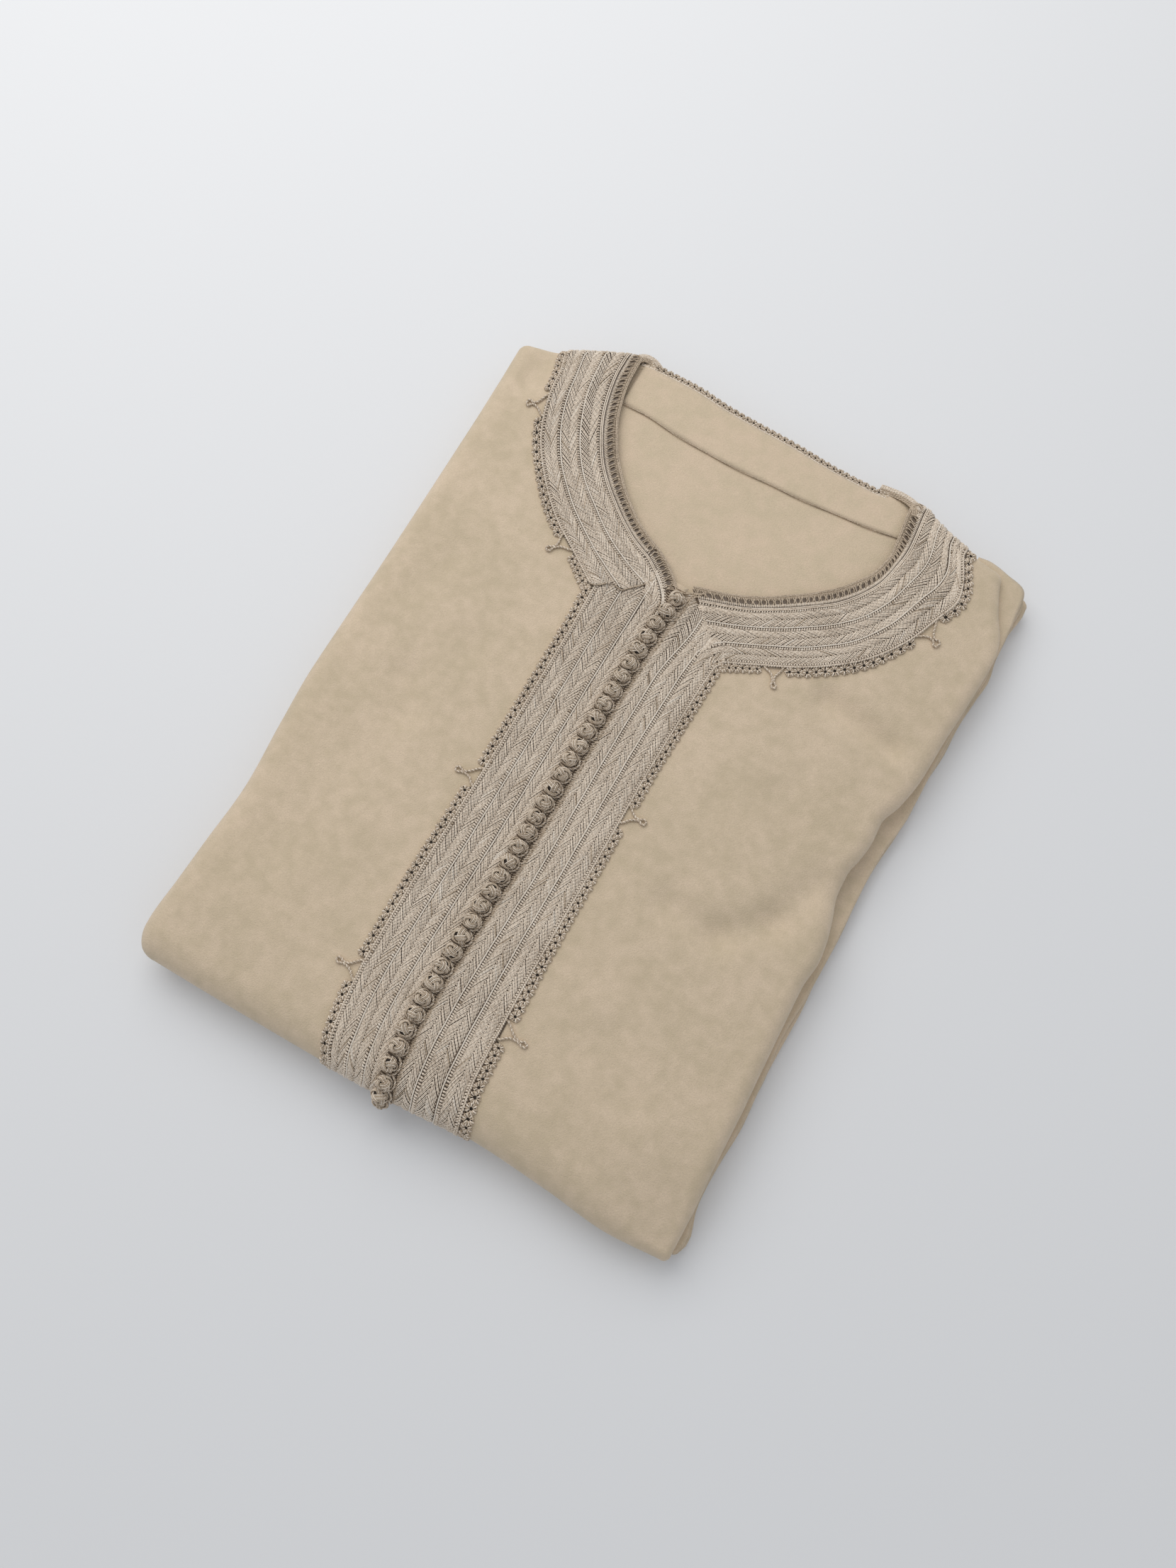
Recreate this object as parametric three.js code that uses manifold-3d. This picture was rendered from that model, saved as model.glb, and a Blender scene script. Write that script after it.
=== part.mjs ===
// A long Moroccan kaftan, folded for a shelf or a parcel, in millimetres. +Z is up, +Y points to the neck and
// +X to the wearer's left, and the packet rests on z = 0. The sides are folded to the back and the skirt is
// folded up behind, so the top shows the two fronts, the braided neck and placket, the row of knot buttons
// and the inside of the back. "right" and "left" are the wearer's.
import * as THREE from 'three';
import { mergeVertices } from 'three/addons/utils/BufferGeometryUtils.js';
import Module from 'manifold-3d';

const wasm = await Module();
wasm.setup();

// ---- driving dimensions ----
const packet = { halfWidth: 150, bottomY: -193, shoulderY: 197 };
const boxCentre = { x: 4.08, y: 9.22 };     // middle of the finished packet's box, moved to the origin
const cloth = 1.2;                          // crepe wall
const braid = 1.3;                          // sewn-down braid
const picot = { thick: 1.0, outer: 5.0, inner: 5.8, back: 4.0 };
const ply = 0.3;                            // air between two layers, and at a seam
const cordRadius = 0.65;                    // twisted cord of the ornaments
const knot = { count: 36, pitch: 8.5, firstY: 94, radius: 4.3, halfHeight: 3.1 };

// ---- how finely the walls are faceted ----
const steps = { across: 7, sideTurn: 5, bottomTurn: 6, shoulderTurn: 4, braid: 3, neck: 14 };

// ---- colours ----
const crepe = new THREE.MeshStandardMaterial({ color: 0xc6b69e, roughness: 0.9, metalness: 0 });
const crepeInside = new THREE.MeshStandardMaterial({ color: 0xcab8a0, roughness: 0.9, metalness: 0 });
const silk = new THREE.MeshStandardMaterial({ color: 0xab9f91, roughness: 0.6, metalness: 0 });
const silkCord = new THREE.MeshStandardMaterial({ color: 0x9c8f80, roughness: 0.6, metalness: 0 });

// ---- small helpers ----
const degrees = Math.PI / 180;
const mix = (from, to, share) => from + (to - from) * share;
const clamp = (value, low, high) => Math.min(high, Math.max(low, value));
const even = (count) => Array.from({ length: count + 1 }, (_, k) => k / count);

function ease(value) {
  const t = clamp(value, 0, 1);
  return t * t * (3 - 2 * t);
}

// A smooth curve through the rows of a short table that never overshoots them.
function through(rows, place, value) {
  const at = rows.map((row) => row[place]);
  const to = rows.map((row) => row[value]);
  const slope = at.slice(1).map((p, k) => (to[k + 1] - to[k]) / (p - at[k]));
  const tangent = at.map((_, k) => {
    const before = slope[Math.max(0, k - 1)];
    const after = slope[Math.min(slope.length - 1, k)];
    return before * after > 0 ? (2 * before * after) / (before + after) : 0;
  });
  return (p) => {
    const q = clamp(p, at[0], at[at.length - 1]);
    const k = Math.min(slope.length - 1, Math.max(0, at.findIndex((edge) => edge > q) - 1));
    const last = q >= at[at.length - 1] ? slope.length - 1 : k;
    const width = at[last + 1] - at[last];
    const t = (q - at[last]) / width;
    const keep = (1 + 2 * t) * (1 - t) * (1 - t);
    const reach = t * t * (3 - 2 * t);
    const leave = t * (1 - t) * (1 - t) * width;
    const arrive = -t * t * (1 - t) * width;
    return to[last] * keep + to[last + 1] * reach + tangent[last] * leave + tangent[last + 1] * arrive;
  };
}

// ---- outline of the top fold, seen from above ----
const rightSide = through([
  { y: -193, x: -150 }, { y: -175, x: -153 }, { y: -154, x: -149.5 }, { y: -129, x: -149 },
  { y: -100, x: -147.5 }, { y: -60, x: -150.5 }, { y: -26, x: -152.5 }, { y: 51, x: -152 },
  { y: 134, x: -152.5 }, { y: 197, x: -154.5 },
], 'y', 'x');
const leftSide = through([
  { y: -193, x: 144.5 }, { y: -170, x: 146 }, { y: -145, x: 145 }, { y: -109, x: 143 },
  { y: -63, x: 144.5 }, { y: -23, x: 146 }, { y: 8, x: 141.5 }, { y: 28, x: 144 },
  { y: 49, x: 149 }, { y: 84, x: 152 }, { y: 113, x: 153.3 }, { y: 148, x: 155.5 },
  { y: 160, x: 153.5 }, { y: 174, x: 147 }, { y: 190, x: 141 }, { y: 197, x: 139 },
], 'y', 'x');
const bottomEdge = through([
  { x: -150, y: -192 }, { x: -100, y: -194.5 }, { x: -46, y: -195 }, { x: 0, y: -192.5 },
  { x: 40, y: -189.5 }, { x: 80, y: -191.5 }, { x: 118, y: -194.5 }, { x: 150, y: -192.5 },
], 'x', 'y');
const shoulderEdge = through([
  { x: -155, y: 192 }, { x: -138, y: 196 }, { x: -129, y: 198.5 }, { x: -118, y: 204 },
  { x: -106, y: 210.5 }, { x: -92, y: 216.5 }, { x: -80, y: 217.5 }, { x: -57, y: 217 },
  { x: -30, y: 213.5 }, { x: 8, y: 211 }, { x: 40, y: 208 }, { x: 60, y: 207.5 },
  { x: 78, y: 209 }, { x: 87, y: 209 }, { x: 97, y: 205 }, { x: 108, y: 202 },
  { x: 122, y: 198.5 }, { x: 132, y: 196 }, { x: 150, y: 193 },
], 'x', 'y');

// ---- how far the cloth reaches past each fold line, and how low it turns ----
const reach = {
  right: through([
    { y: -193, r: 13 }, { y: -165, r: 13 }, { y: 60, r: 12 }, { y: 150, r: 10 }, { y: 197, r: 7 },
  ], 'y', 'r'),
  left: through([
    { y: -193, r: 8 }, { y: -165, r: 8 }, { y: 0, r: 9 }, { y: 150, r: 9 }, { y: 197, r: 7 },
  ], 'y', 'r'),
  bottom: through([
    { x: -150, r: 14 }, { x: -132, r: 14 }, { x: 0, r: 16 }, { x: 130, r: 9 }, { x: 150, r: 9 },
  ], 'x', 'r'),
  shoulder: () => 6,
};
const turnedLow = {
  right: () => 8,
  left: through([
    { y: -193, z: 9 }, { y: -120, z: 10.5 }, { y: 120, z: 10.5 }, { y: 160, z: 15.5 }, { y: 197, z: 15.5 },
  ], 'y', 'z'),
  bottom: () => 1.8,
  shoulder: through([
    { x: -150, z: 12.5 }, { x: 100, z: 12.5 }, { x: 130, z: 15.5 }, { x: 150, z: 15.5 },
  ], 'x', 'z'),
};
const turnEnd = { side: 150 * degrees, bottom: 155 * degrees, shoulder: 150 * degrees };

// ---- height of the top, and the creases pressed into it ----
const lengthwise = through([
  { y: -193, z: 29 }, { y: -150, z: 29.5 }, { y: -80, z: 28.5 }, { y: 0, z: 27.5 },
  { y: 80, z: 27 }, { y: 140, z: 26 }, { y: 180, z: 24.5 }, { y: 212, z: 23 },
], 'y', 'z');
const sideDroop = { right: 2.0, left: 3.5 };
const creases = [
  { fromX: 88, fromY: 83, toX: 134, toY: 75, depth: 2.6, width: 9 },
  { fromX: 131, fromY: 0, toX: 118, toY: -28, depth: 1.6, width: 11 },
  { fromX: 116, fromY: -32, toX: 98, toY: -48, depth: 1.9, width: 11 },
  { fromX: 94, fromY: -50, toX: 68, toY: -48, depth: 1.5, width: 11 },
  { fromX: 92, fromY: 28, toX: 124, toY: -4, depth: 0.8, width: 12 },
  { fromX: -105, fromY: -10, toX: -96, toY: -26, depth: 1.6, width: 12 },
  { fromX: -112, fromY: -60, toX: -114, toY: -112, depth: 1.6, width: 20 },
  { fromX: -87, fromY: 24, toX: -84, toY: 18, depth: 0.9, width: 10 },
  { fromX: -134, fromY: 192, toX: -137, toY: 172, depth: 1.6, width: 8 },
];

function creaseDepth(x, y, widen) {
  let sum = 0;
  for (const crease of creases) {
    const runX = crease.toX - crease.fromX;
    const runY = crease.toY - crease.fromY;
    const share = ((x - crease.fromX) * runX + (y - crease.fromY) * runY) / (runX * runX + runY * runY);
    const t = clamp(share, 0, 1);
    const away = Math.hypot(x - crease.fromX - runX * t, y - crease.fromY - runY * t);
    sum += crease.depth * Math.exp(-((away / (crease.width * widen)) ** 2));
  }
  return sum;
}

function topHeight(x, y, widen = 1) {
  const droop = x < 0 ? sideDroop.right : sideDroop.left;
  return lengthwise(y) - droop * (x / packet.halfWidth) ** 4 - creaseDepth(x, y, widen);
}

// The laid-out cloth is a plain rectangle; its edges are shifted to the outline, and the shift fades inwards:
// it starts at a line and is whole after the width beside it.
const shifted = {
  side: { from: 85, width: 45 },
  bottom: { from: -133, width: 35 },
  shoulder: { from: 130, width: 58 },
};

function shift(x, y) {
  const { side, bottom, shoulder } = shifted;
  const toRight = (rightSide(y) + packet.halfWidth) * ease((-x - side.from) / side.width);
  const toLeft = (leftSide(y) - packet.halfWidth) * ease((x - side.from) / side.width);
  const toBottom = (bottomEdge(x) - packet.bottomY) * ease((bottom.from - y) / bottom.width);
  const toShoulder = (shoulderEdge(x) - packet.shoulderY) * ease((y - shoulder.from) / shoulder.width);
  return { x: toRight + toLeft, y: toBottom + toShoulder };
}

function laidOut(planX, planY) {
  let x = planX;
  let y = planY;
  for (let round = 0; round < 8; round += 1) {
    const moved = shift(x, y);
    x = planX - moved.x;
    y = planY - moved.y;
  }
  return { x, y };
}

// ---- the draped cloth: from laid-out cloth to space ----
// sideTurn and endTurn are the angles turned over a fold: negative over the right side or the bottom,
// positive over the left side or the shoulders. lift is the distance from the outer face of the cloth.
const sideReach = (side, y) => (side < 0 ? reach.right(y) : reach.left(y));
const endReach = (end, x) => (end < 0 ? reach.bottom(x) : reach.shoulder(x));
const sideLine = (side, y) => side * (packet.halfWidth - sideReach(side, y));
const endLine = (end, x) => (end < 0 ? packet.bottomY : packet.shoulderY) - end * endReach(end, x);

function drape({ x, y, sideTurn = 0, endTurn = 0 }, lift = 0) {
  const footX = sideTurn === 0 ? x : sideLine(Math.sign(sideTurn), y);
  const footY = endTurn === 0 ? y : endLine(Math.sign(endTurn), x);
  const moved = shift(footX, footY);
  const planX = footX + moved.x;
  const planY = footY + moved.y;
  const top = topHeight(planX, planY);
  const turn = Math.max(Math.abs(sideTurn), Math.abs(endTurn));
  if (turn === 0) {
    return new THREE.Vector3(planX, planY, top + lift);
  }
  const across = Math.abs(sideTurn) / Math.hypot(sideTurn, endTurn);
  const along = Math.abs(endTurn) / Math.hypot(sideTurn, endTurn);
  const reachX = sideReach(sideTurn, y);
  const reachY = endReach(endTurn, x);
  const lowSide = sideTurn < 0 ? turnedLow.right(y) : turnedLow.left(y);
  const lowEnd = endTurn < 0 ? turnedLow.bottom(x) : turnedLow.shoulder(x);
  const drop = (top - lowSide * across ** 2 - lowEnd * along ** 2) / 2;
  const outX = Math.sign(sideTurn) * reachX * across;
  const outY = Math.sign(endTurn) * reachY * along;
  const level = new THREE.Vector2(outX / reachX ** 2, outY / reachY ** 2).setLength(Math.sin(turn) * drop);
  const rise = Math.cos(turn) * Math.hypot(outX, outY);
  const normal = new THREE.Vector3(level.x, level.y, rise).normalize();
  return new THREE.Vector3(
    planX + outX * Math.sin(turn),
    planY + outY * Math.sin(turn),
    top - drop * (1 - Math.cos(turn)),
  ).addScaledVector(normal, lift);
}

// ---- closed bodies ----
function bodyFrom(points, triangles) {
  const keys = new Map();
  const kept = [];
  const index = points.map((point) => {
    const key = [point.x, point.y, point.z].map((value) => Math.round(value * 1000)).join();
    if (!keys.has(key)) {
      keys.set(key, kept.length);
      kept.push(point);
    }
    return keys.get(key);
  });
  const faces = triangles
    .map((corners) => corners.map((corner) => index[corner]))
    .filter(([a, b, c]) => a !== b && b !== c && c !== a);
  let volume = 0;
  for (const [a, b, c] of faces) {
    volume += kept[a].dot(new THREE.Vector3().crossVectors(kept[b], kept[c]));
  }
  const outward = volume > 0 ? faces : faces.map(([a, b, c]) => [a, c, b]);
  const geometry = new THREE.BufferGeometry();
  geometry.setAttribute('position', new THREE.Float32BufferAttribute(kept.flatMap((p) => p.toArray()), 3));
  geometry.setIndex(outward.flat());
  return geometry;
}

// A wall of cloth between two lifts, over a grid of places: grid[row][column].
function wallOver(grid, low, high, draped = drape) {
  const rows = grid.length;
  const columns = grid[0].length;
  const points = [high, low].flatMap((lift) => grid.flat().map((place) => draped(place, lift)));
  const top = (row, column) => row * columns + column;
  const under = (row, column) => rows * columns + top(row, column);
  const triangles = [];
  const quad = (a, b, c, d) => triangles.push([a, b, c], [a, c, d]);
  for (let row = 0; row + 1 < rows; row += 1) {
    for (let column = 0; column + 1 < columns; column += 1) {
      quad(top(row, column), top(row, column + 1), top(row + 1, column + 1), top(row + 1, column));
      quad(under(row, column), under(row + 1, column), under(row + 1, column + 1), under(row, column + 1));
    }
    quad(top(row, 0), top(row + 1, 0), under(row + 1, 0), under(row, 0));
    const end = columns - 1;
    quad(top(row, end), under(row, end), under(row + 1, end), top(row + 1, end));
  }
  for (let column = 0; column + 1 < columns; column += 1) {
    quad(top(0, column), under(0, column), under(0, column + 1), top(0, column + 1));
    const end = rows - 1;
    quad(top(end, column), top(end, column + 1), under(end, column + 1), under(end, column));
  }
  return bodyFrom(points, triangles);
}

// Joins closed bodies that share volume into one.
function joined(geometries) {
  const solids = geometries.map((geometry) => {
    const bare = geometry.clone();
    bare.deleteAttribute('normal');
    bare.deleteAttribute('uv');
    const merged = mergeVertices(bare, 1e-4);
    return new wasm.Manifold(new wasm.Mesh({
      numProp: 3,
      vertProperties: new Float32Array(merged.attributes.position.array),
      triVerts: new Uint32Array(merged.index.array),
    }));
  });
  const whole = solids.reduce((sum, solid) => sum.add(solid)).getMesh();
  const geometry = new THREE.BufferGeometry();
  geometry.setAttribute('position', new THREE.Float32BufferAttribute(whole.vertProperties, 3));
  geometry.setIndex([...whole.triVerts]);
  return geometry;
}

const kaftan = new THREE.Group();

function addPiece(name, geometry, material) {
  const piece = new THREE.Mesh(geometry, material);
  piece.name = name;
  kaftan.add(piece);
  return piece;
}

// ---- placket: x of the braid edges down the front ----
const placketRows = [
  { y: -190, rightOuter: -37.5, rightInner: -11.4, leftInner: -0.6, leftOuter: 33.6 },
  { y: -180, rightOuter: -41.2, rightInner: -13.3, leftInner: -2.5, leftOuter: 31.6 },
  { y: -170, rightOuter: -43.2, rightInner: -14.8, leftInner: -3.8, leftOuter: 29.7 },
  { y: -155, rightOuter: -44.9, rightInner: -15.8, leftInner: -4.7, leftOuter: 29 },
  { y: -140, rightOuter: -46, rightInner: -15.8, leftInner: -4.8, leftOuter: 28.6 },
  { y: -100, rightOuter: -46, rightInner: -14.5, leftInner: -3.3, leftOuter: 27.8 },
  { y: -60, rightOuter: -45.1, rightInner: -13.4, leftInner: -1.5, leftOuter: 28 },
  { y: 0, rightOuter: -44.1, rightInner: -13, leftInner: -1.3, leftOuter: 28.3 },
  { y: 50, rightOuter: -44, rightInner: -12, leftInner: -0.2, leftOuter: 30.2 },
  { y: 75, rightOuter: -44.6, rightInner: -10.8, leftInner: 1.8, leftOuter: 31.2 },
  { y: 105, rightOuter: -45.5, rightInner: -9.5, leftInner: 4.5, leftOuter: 32 },
];
const placket = Object.fromEntries(
  ['rightOuter', 'rightInner', 'leftInner', 'leftOuter'].map((edge) => (
    [edge, through(placketRows, 'y', edge)])),
);
const knotColumn = 9.0;                     // width kept free for the knots
const seamX = (y) => placket.rightInner(y) + knotColumn;

// ---- neck: inner and outer edge of the braid, from the notch to the shoulder line ----
const neckRows = {
  right: [
    { innerX: -12.5, innerY: 103, outerX: -45.5, outerY: 79 },
    { innerX: -39, innerY: 115.5, outerX: -62, outerY: 91 },
    { innerX: -60.5, innerY: 132.5, outerX: -85, outerY: 108 },
    { innerX: -77, innerY: 150, outerX: -102.5, outerY: 127.5 },
    { innerX: -87, innerY: 167, outerX: -115.5, outerY: 148.5 },
    { innerX: -93, innerY: 183, outerX: -122.5, outerY: 170 },
    { innerX: -96, innerY: 196.5, outerX: -124.5, outerY: 184.5 },
  ],
  left: [
    { innerX: 7, innerY: 99, outerX: 32, outerY: 74 },
    { innerX: 31, innerY: 109.5, outerX: 49.5, outerY: 82.5 },
    { innerX: 56, innerY: 124.5, outerX: 74.5, outerY: 94.5 },
    { innerX: 73.5, innerY: 139, outerX: 96.5, outerY: 111.5 },
    { innerX: 84, innerY: 155.5, outerX: 110.5, outerY: 131.5 },
    { innerX: 87.5, innerY: 170, outerX: 119.5, outerY: 152.5 },
    { innerX: 88.5, innerY: 184, outerX: 124.5, outerY: 174 },
  ],
};
const neckAtShoulder = { right: { inner: -95.5, outer: -123.5 }, left: { inner: 87, outer: 127 } };

// Places along the neck edge, each with its inner and outer point on the laid-out cloth.
function neckPlaces(side) {
  const rows = neckRows[side].map((row) => ({
    inner: laidOut(row.innerX, row.innerY),
    outer: laidOut(row.outerX, row.outerY),
  }));
  const shoulder = endLine(1, 0);
  rows.push({
    inner: { x: neckAtShoulder[side].inner, y: shoulder },
    outer: { x: neckAtShoulder[side].outer, y: shoulder },
  });
  const curveOf = (edge) => new THREE.CatmullRomCurve3(
    rows.map((row) => new THREE.Vector3(row[edge].x, row[edge].y, 0)), false, 'centripetal');
  const inner = curveOf('inner');
  const outer = curveOf('outer');
  return even(steps.neck).map((share) => ({
    inner: inner.getPoint(share),
    outer: outer.getPoint(share),
  }));
}
const neck = { right: neckPlaces('right'), left: neckPlaces('left') };

// x of the neck edge of the cloth at a height y of the laid-out cloth.
function neckEdgeX(side, y) {
  const points = neck[side].map((place) => place.inner);
  const above = points.findIndex((point) => point.y > y);
  const next = above < 0 ? points.length - 1 : Math.max(1, above);
  const from = points[next - 1];
  const to = points[next];
  return mix(from.x, to.x, clamp((y - from.y) / (to.y - from.y), 0, 1));
}

// ---- fronts ----
const notch = { right: neck.right[0].inner.y, left: neck.left[0].inner.y };
const bottomTurns = even(steps.bottomTurn).slice(1).reverse().map((share) => -share * turnEnd.bottom);
const shoulderTurns = even(steps.shoulderTurn).slice(1).map((share) => share * turnEnd.shoulder);
const panelRows = (side) => {
  const lower = [-172, -160, -145, -128, -110, -92, -74, -58, -44, -30, -14, 2, 18, 34, 50, 64, 76, 88];
  const upper = even(9).slice(1).map((share) => mix(notch[side], endLine(1, 0), share ** 1.25));
  return [
    ...bottomTurns.map((endTurn) => ({ y: packet.bottomY, endTurn })),
    { y: null, endTurn: 0 },
    ...lower.map((y) => ({ y, endTurn: 0 })),
    { y: notch[side], endTurn: 0 },
    ...upper.map((y) => ({ y, endTurn: 0 })),
    ...shoulderTurns.map((endTurn) => ({ y: endLine(1, 0), endTurn })),
  ];
};

function frontPanel(side) {
  const sign = side === 'right' ? -1 : 1;
  const turns = even(steps.sideTurn).slice(1).reverse().map((share) => sign * share * turnEnd.side);
  return panelRows(side).map(({ y, endTurn }) => {
    const level = y ?? endLine(-1, 0);
    const free = seamX(level) + sign * ply / 2;
    const inner = level > notch[side] ? neckEdgeX(side, level) : free;
    const folded = turns.map((sideTurn) => ({ x: sign * packet.halfWidth, y: level, sideTurn, endTurn }));
    const laid = even(steps.across).map((share) => {
      const x = mix(sideLine(sign, level), inner, share);
      return { x, y: y ?? endLine(-1, x), endTurn };
    });
    return [...folded, ...laid];
  });
}
addPiece('front_right', wallOver(frontPanel('right'), -cloth, 0), crepe);
addPiece('front_left', wallOver(frontPanel('left'), -cloth, 0), crepe);

// ---- placket braids, three herringbone bands wide, mitred into the neck braid ----
const braidRows = [-172, -145, -110, -74, -44, -14, 18, 50, 64];
const mitre = { right: neck.right[0], left: neck.left[0] };

// How the cloth rolls under at the bottom, and the height on laid-out cloth of a place that is turned there.
const bottomRoll = (x) => (reach.bottom(x) + (topHeight(x, packet.bottomY) - turnedLow.bottom(x)) / 2) / 2;
const lengthAt = (x, endTurn) => endLine(-1, x) + endTurn * bottomRoll(x);

// A strip beside the front opening: a column of 0 is the outer edge of the braid and 1 its inner edge.
function placketStrip(side, columns, edgeAt, trim = ply / 2) {
  const top = columns.map((share) => {
    const y = mix(mitre[side].outer.y, mitre[side].inner.y, share) - trim;
    return { x: edgeAt(y, share), y, endTurn: 0 };
  });
  const level = (y, share) => ({ x: edgeAt(y, share), y, endTurn: 0 });
  const lowest = columns.map((share) => {
    const x = edgeAt(packet.bottomY, share);
    const y = endLine(-1, x);
    return { x: edgeAt(y, share), y, endTurn: 0 };
  });
  const turned = bottomTurns.map((endTurn) => columns.map((share) => {
    const x = edgeAt(packet.bottomY, share);
    return { x: edgeAt(lengthAt(x, endTurn), share), y: packet.bottomY, endTurn };
  }));
  return [...turned, lowest, ...braidRows.map((y) => columns.map((share) => level(y, share))), top];
}

const braidEdge = (side) => (y, share) => mix(placket[`${side}Outer`](y), placket[`${side}Inner`](y), share);
const thirds = even(steps.braid);
for (const side of ['right', 'left']) {
  const strip = placketStrip(side, thirds, braidEdge(side));
  addPiece(`front_braid_${side}`, wallOver(strip, ply, ply + braid), silk);
}

// ---- neck braids, over the front and round the shoulder line to the back ----
function neckStrip(side, columns, trim = ply / 2) {
  const places = neck[side];
  const start = places.map((place, k) => {
    const next = places[Math.min(k + 1, places.length - 1)];
    const runLength = Math.hypot(next.inner.x - place.inner.x, next.inner.y - place.inner.y);
    const share = k === 0 ? trim / runLength : 0;
    return {
      inner: { x: mix(place.inner.x, next.inner.x, share), y: mix(place.inner.y, next.inner.y, share) },
      outer: { x: mix(place.outer.x, next.outer.x, share), y: mix(place.outer.y, next.outer.y, share) },
    };
  });
  const across = ({ inner, outer }, endTurn) => columns.map((share) => (
    { x: mix(outer.x, inner.x, share), y: mix(outer.y, inner.y, share), endTurn }));
  const last = start[start.length - 1];
  const turned = shoulderTurns.map((endTurn) => across(last, endTurn));
  return [...start.map((place) => across(place, 0)), ...turned];
}
const neckLift = 2 * ply;                   // the ring stands a little off the shoulder line
for (const side of ['right', 'left']) {
  addPiece(`neck_braid_${side}`, wallOver(neckStrip(side, thirds), neckLift, neckLift + braid), silk);
}

// ---- picot edgings, worked on outside the braids and round the neck opening, and their ornaments: a twisted
// cord that leaves the picot twice, meets itself and ends in a small curl ----
const ornament = { root: -0.5, spread: 3.0, bend: 2.0, meet: 4.2, tip: 7.6, curl: 2.0, sides: 5, steps: 3 };

function cordAlong(places) {
  const corner = (angle) => new THREE.Vector2(Math.cos(angle), Math.sin(angle)).multiplyScalar(cordRadius);
  const section = new THREE.Shape(even(ornament.sides).slice(1).map((share) => corner(share * 2 * Math.PI)));
  const path = new THREE.CatmullRomCurve3(places.map((place) => drape(place, ply + cordRadius)));
  const tube = new THREE.ExtrudeGeometry(section, { steps: ornament.steps, extrudePath: path });
  const corners = tube.attributes.position;
  const pointAt = (_, k) => new THREE.Vector3().fromBufferAttribute(corners, k);
  const points = Array.from({ length: corners.count }, pointAt);
  const triangles = Array.from({ length: points.length / 3 }, (_, k) => [3 * k, 3 * k + 1, 3 * k + 2]);
  return bodyFrom(points, triangles);
}

// start is a place in the picot, and away is one further out over the cloth.
function ornamentCords(start, away) {
  const out = new THREE.Vector2(away.x - start.x, away.y - start.y).normalize();
  const along = { x: -out.y, y: out.x };
  const place = (outBy, alongBy) => ({
    x: start.x + out.x * outBy + along.x * alongBy,
    y: start.y + out.y * outBy + along.y * alongBy,
  });
  const { root: foot, spread, bend, meet, tip, curl } = ornament;
  const leg = (side) => [place(foot, side * spread), place(bend, side * spread * 0.6), place(meet, 0)];
  return [cordAlong([...leg(1), place(tip, 0), place(tip, curl)]), cordAlong(leg(-1))];
}

const placketWidth = 29;
const frontOrnaments = { right: [-38, -148], left: [-19, -139] };
for (const side of ['right', 'left']) {
  const edge = braidEdge(side);
  const columns = [-picot.outer / placketWidth, -ply / placketWidth];
  const strip = wallOver(placketStrip(side, columns, edge), ply, ply + picot.thick);
  const pointAt = (y, out) => ({ x: edge(y, -out / placketWidth), y });
  const cords = frontOrnaments[side].flatMap((y) => (
    ornamentCords(pointAt(y, picot.outer - 1), pointAt(y, 2 * picot.outer))));
  addPiece(`picot_front_${side}`, joined([strip, ...cords]), silkCord);
}

const neckWidth = 33;
const beyond = (from, to) => [-to / neckWidth, -from / neckWidth];
const within = (from, to) => [1 + from / neckWidth, 1 + to / neckWidth];
const neckOrnaments = { right: [0.25, 0.78], left: [0.22, 0.72] };
for (const side of ['right', 'left']) {
  const outerStrip = wallOver(neckStrip(side, beyond(ply, picot.outer)), ply, ply + picot.thick);
  const pointAt = (share, out) => {
    const k = share * steps.neck;
    const from = neck[side][Math.floor(k)];
    const to = neck[side][Math.ceil(k)];
    const at = (edge, axis) => mix(from[edge][axis], to[edge][axis], k % 1);
    const across = (axis) => mix(at('inner', axis), at('outer', axis), 1 + out / neckWidth);
    return { x: across('x'), y: across('y') };
  };
  const cords = neckOrnaments[side].flatMap((share) => (
    ornamentCords(pointAt(share, picot.outer - 1), pointAt(share, 2 * picot.outer))));
  addPiece(`picot_outer_${side}`, joined([outerStrip, ...cords]), silkCord);
  const innerStrip = wallOver(neckStrip(side, within(ply, picot.inner)), ply, ply + picot.thick);
  addPiece(`picot_inner_${side}`, innerStrip, silkCord);
}

// ---- button loops, worked on the left front beside the knots ----
const loops = { thick: 1.8, belowNotch: 6 };
const loopEdge = (y, share) => mix(seamX(y) + ply, placket.leftInner(y) - ply, share);
const loopStrip = placketStrip('left', [0, 1], loopEdge, loops.belowNotch);
addPiece('button_loops', wallOver(loopStrip, ply, ply + loops.thick), silkCord);

// ---- knot buttons, one above another, down the right front and over the bottom fold ----
function knotPlace(number) {
  const along = number * knot.pitch;
  const foldY = endLine(-1, seamX(packet.bottomY) - knotColumn / 2);
  const straight = knot.firstY - foldY;
  const turned = Math.max(0, along - straight) / (bottomRoll(seamX(foldY)) + knot.halfHeight);
  const y = Math.max(knot.firstY - along, foldY);
  const x = seamX(y - turned * bottomRoll(seamX(foldY))) - ply / 2 - knotColumn / 2;
  return { x, y, endTurn: -turned };
}
for (let number = 0; number < knot.count; number += 1) {
  const place = knotPlace(number);
  const base = drape(place, ply);
  const normal = drape(place, ply + 1).sub(base);
  const ball = new THREE.SphereGeometry(1, 6, 5).scale(knot.radius, knot.halfHeight, knot.radius);
  const button = addPiece(`knot_${String(number + 1).padStart(2, '0')}`, ball, silkCord);
  button.quaternion.setFromUnitVectors(new THREE.Vector3(0, 1, 0), normal);
  button.position.copy(base).addScaledVector(normal, knot.halfHeight);
}

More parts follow.
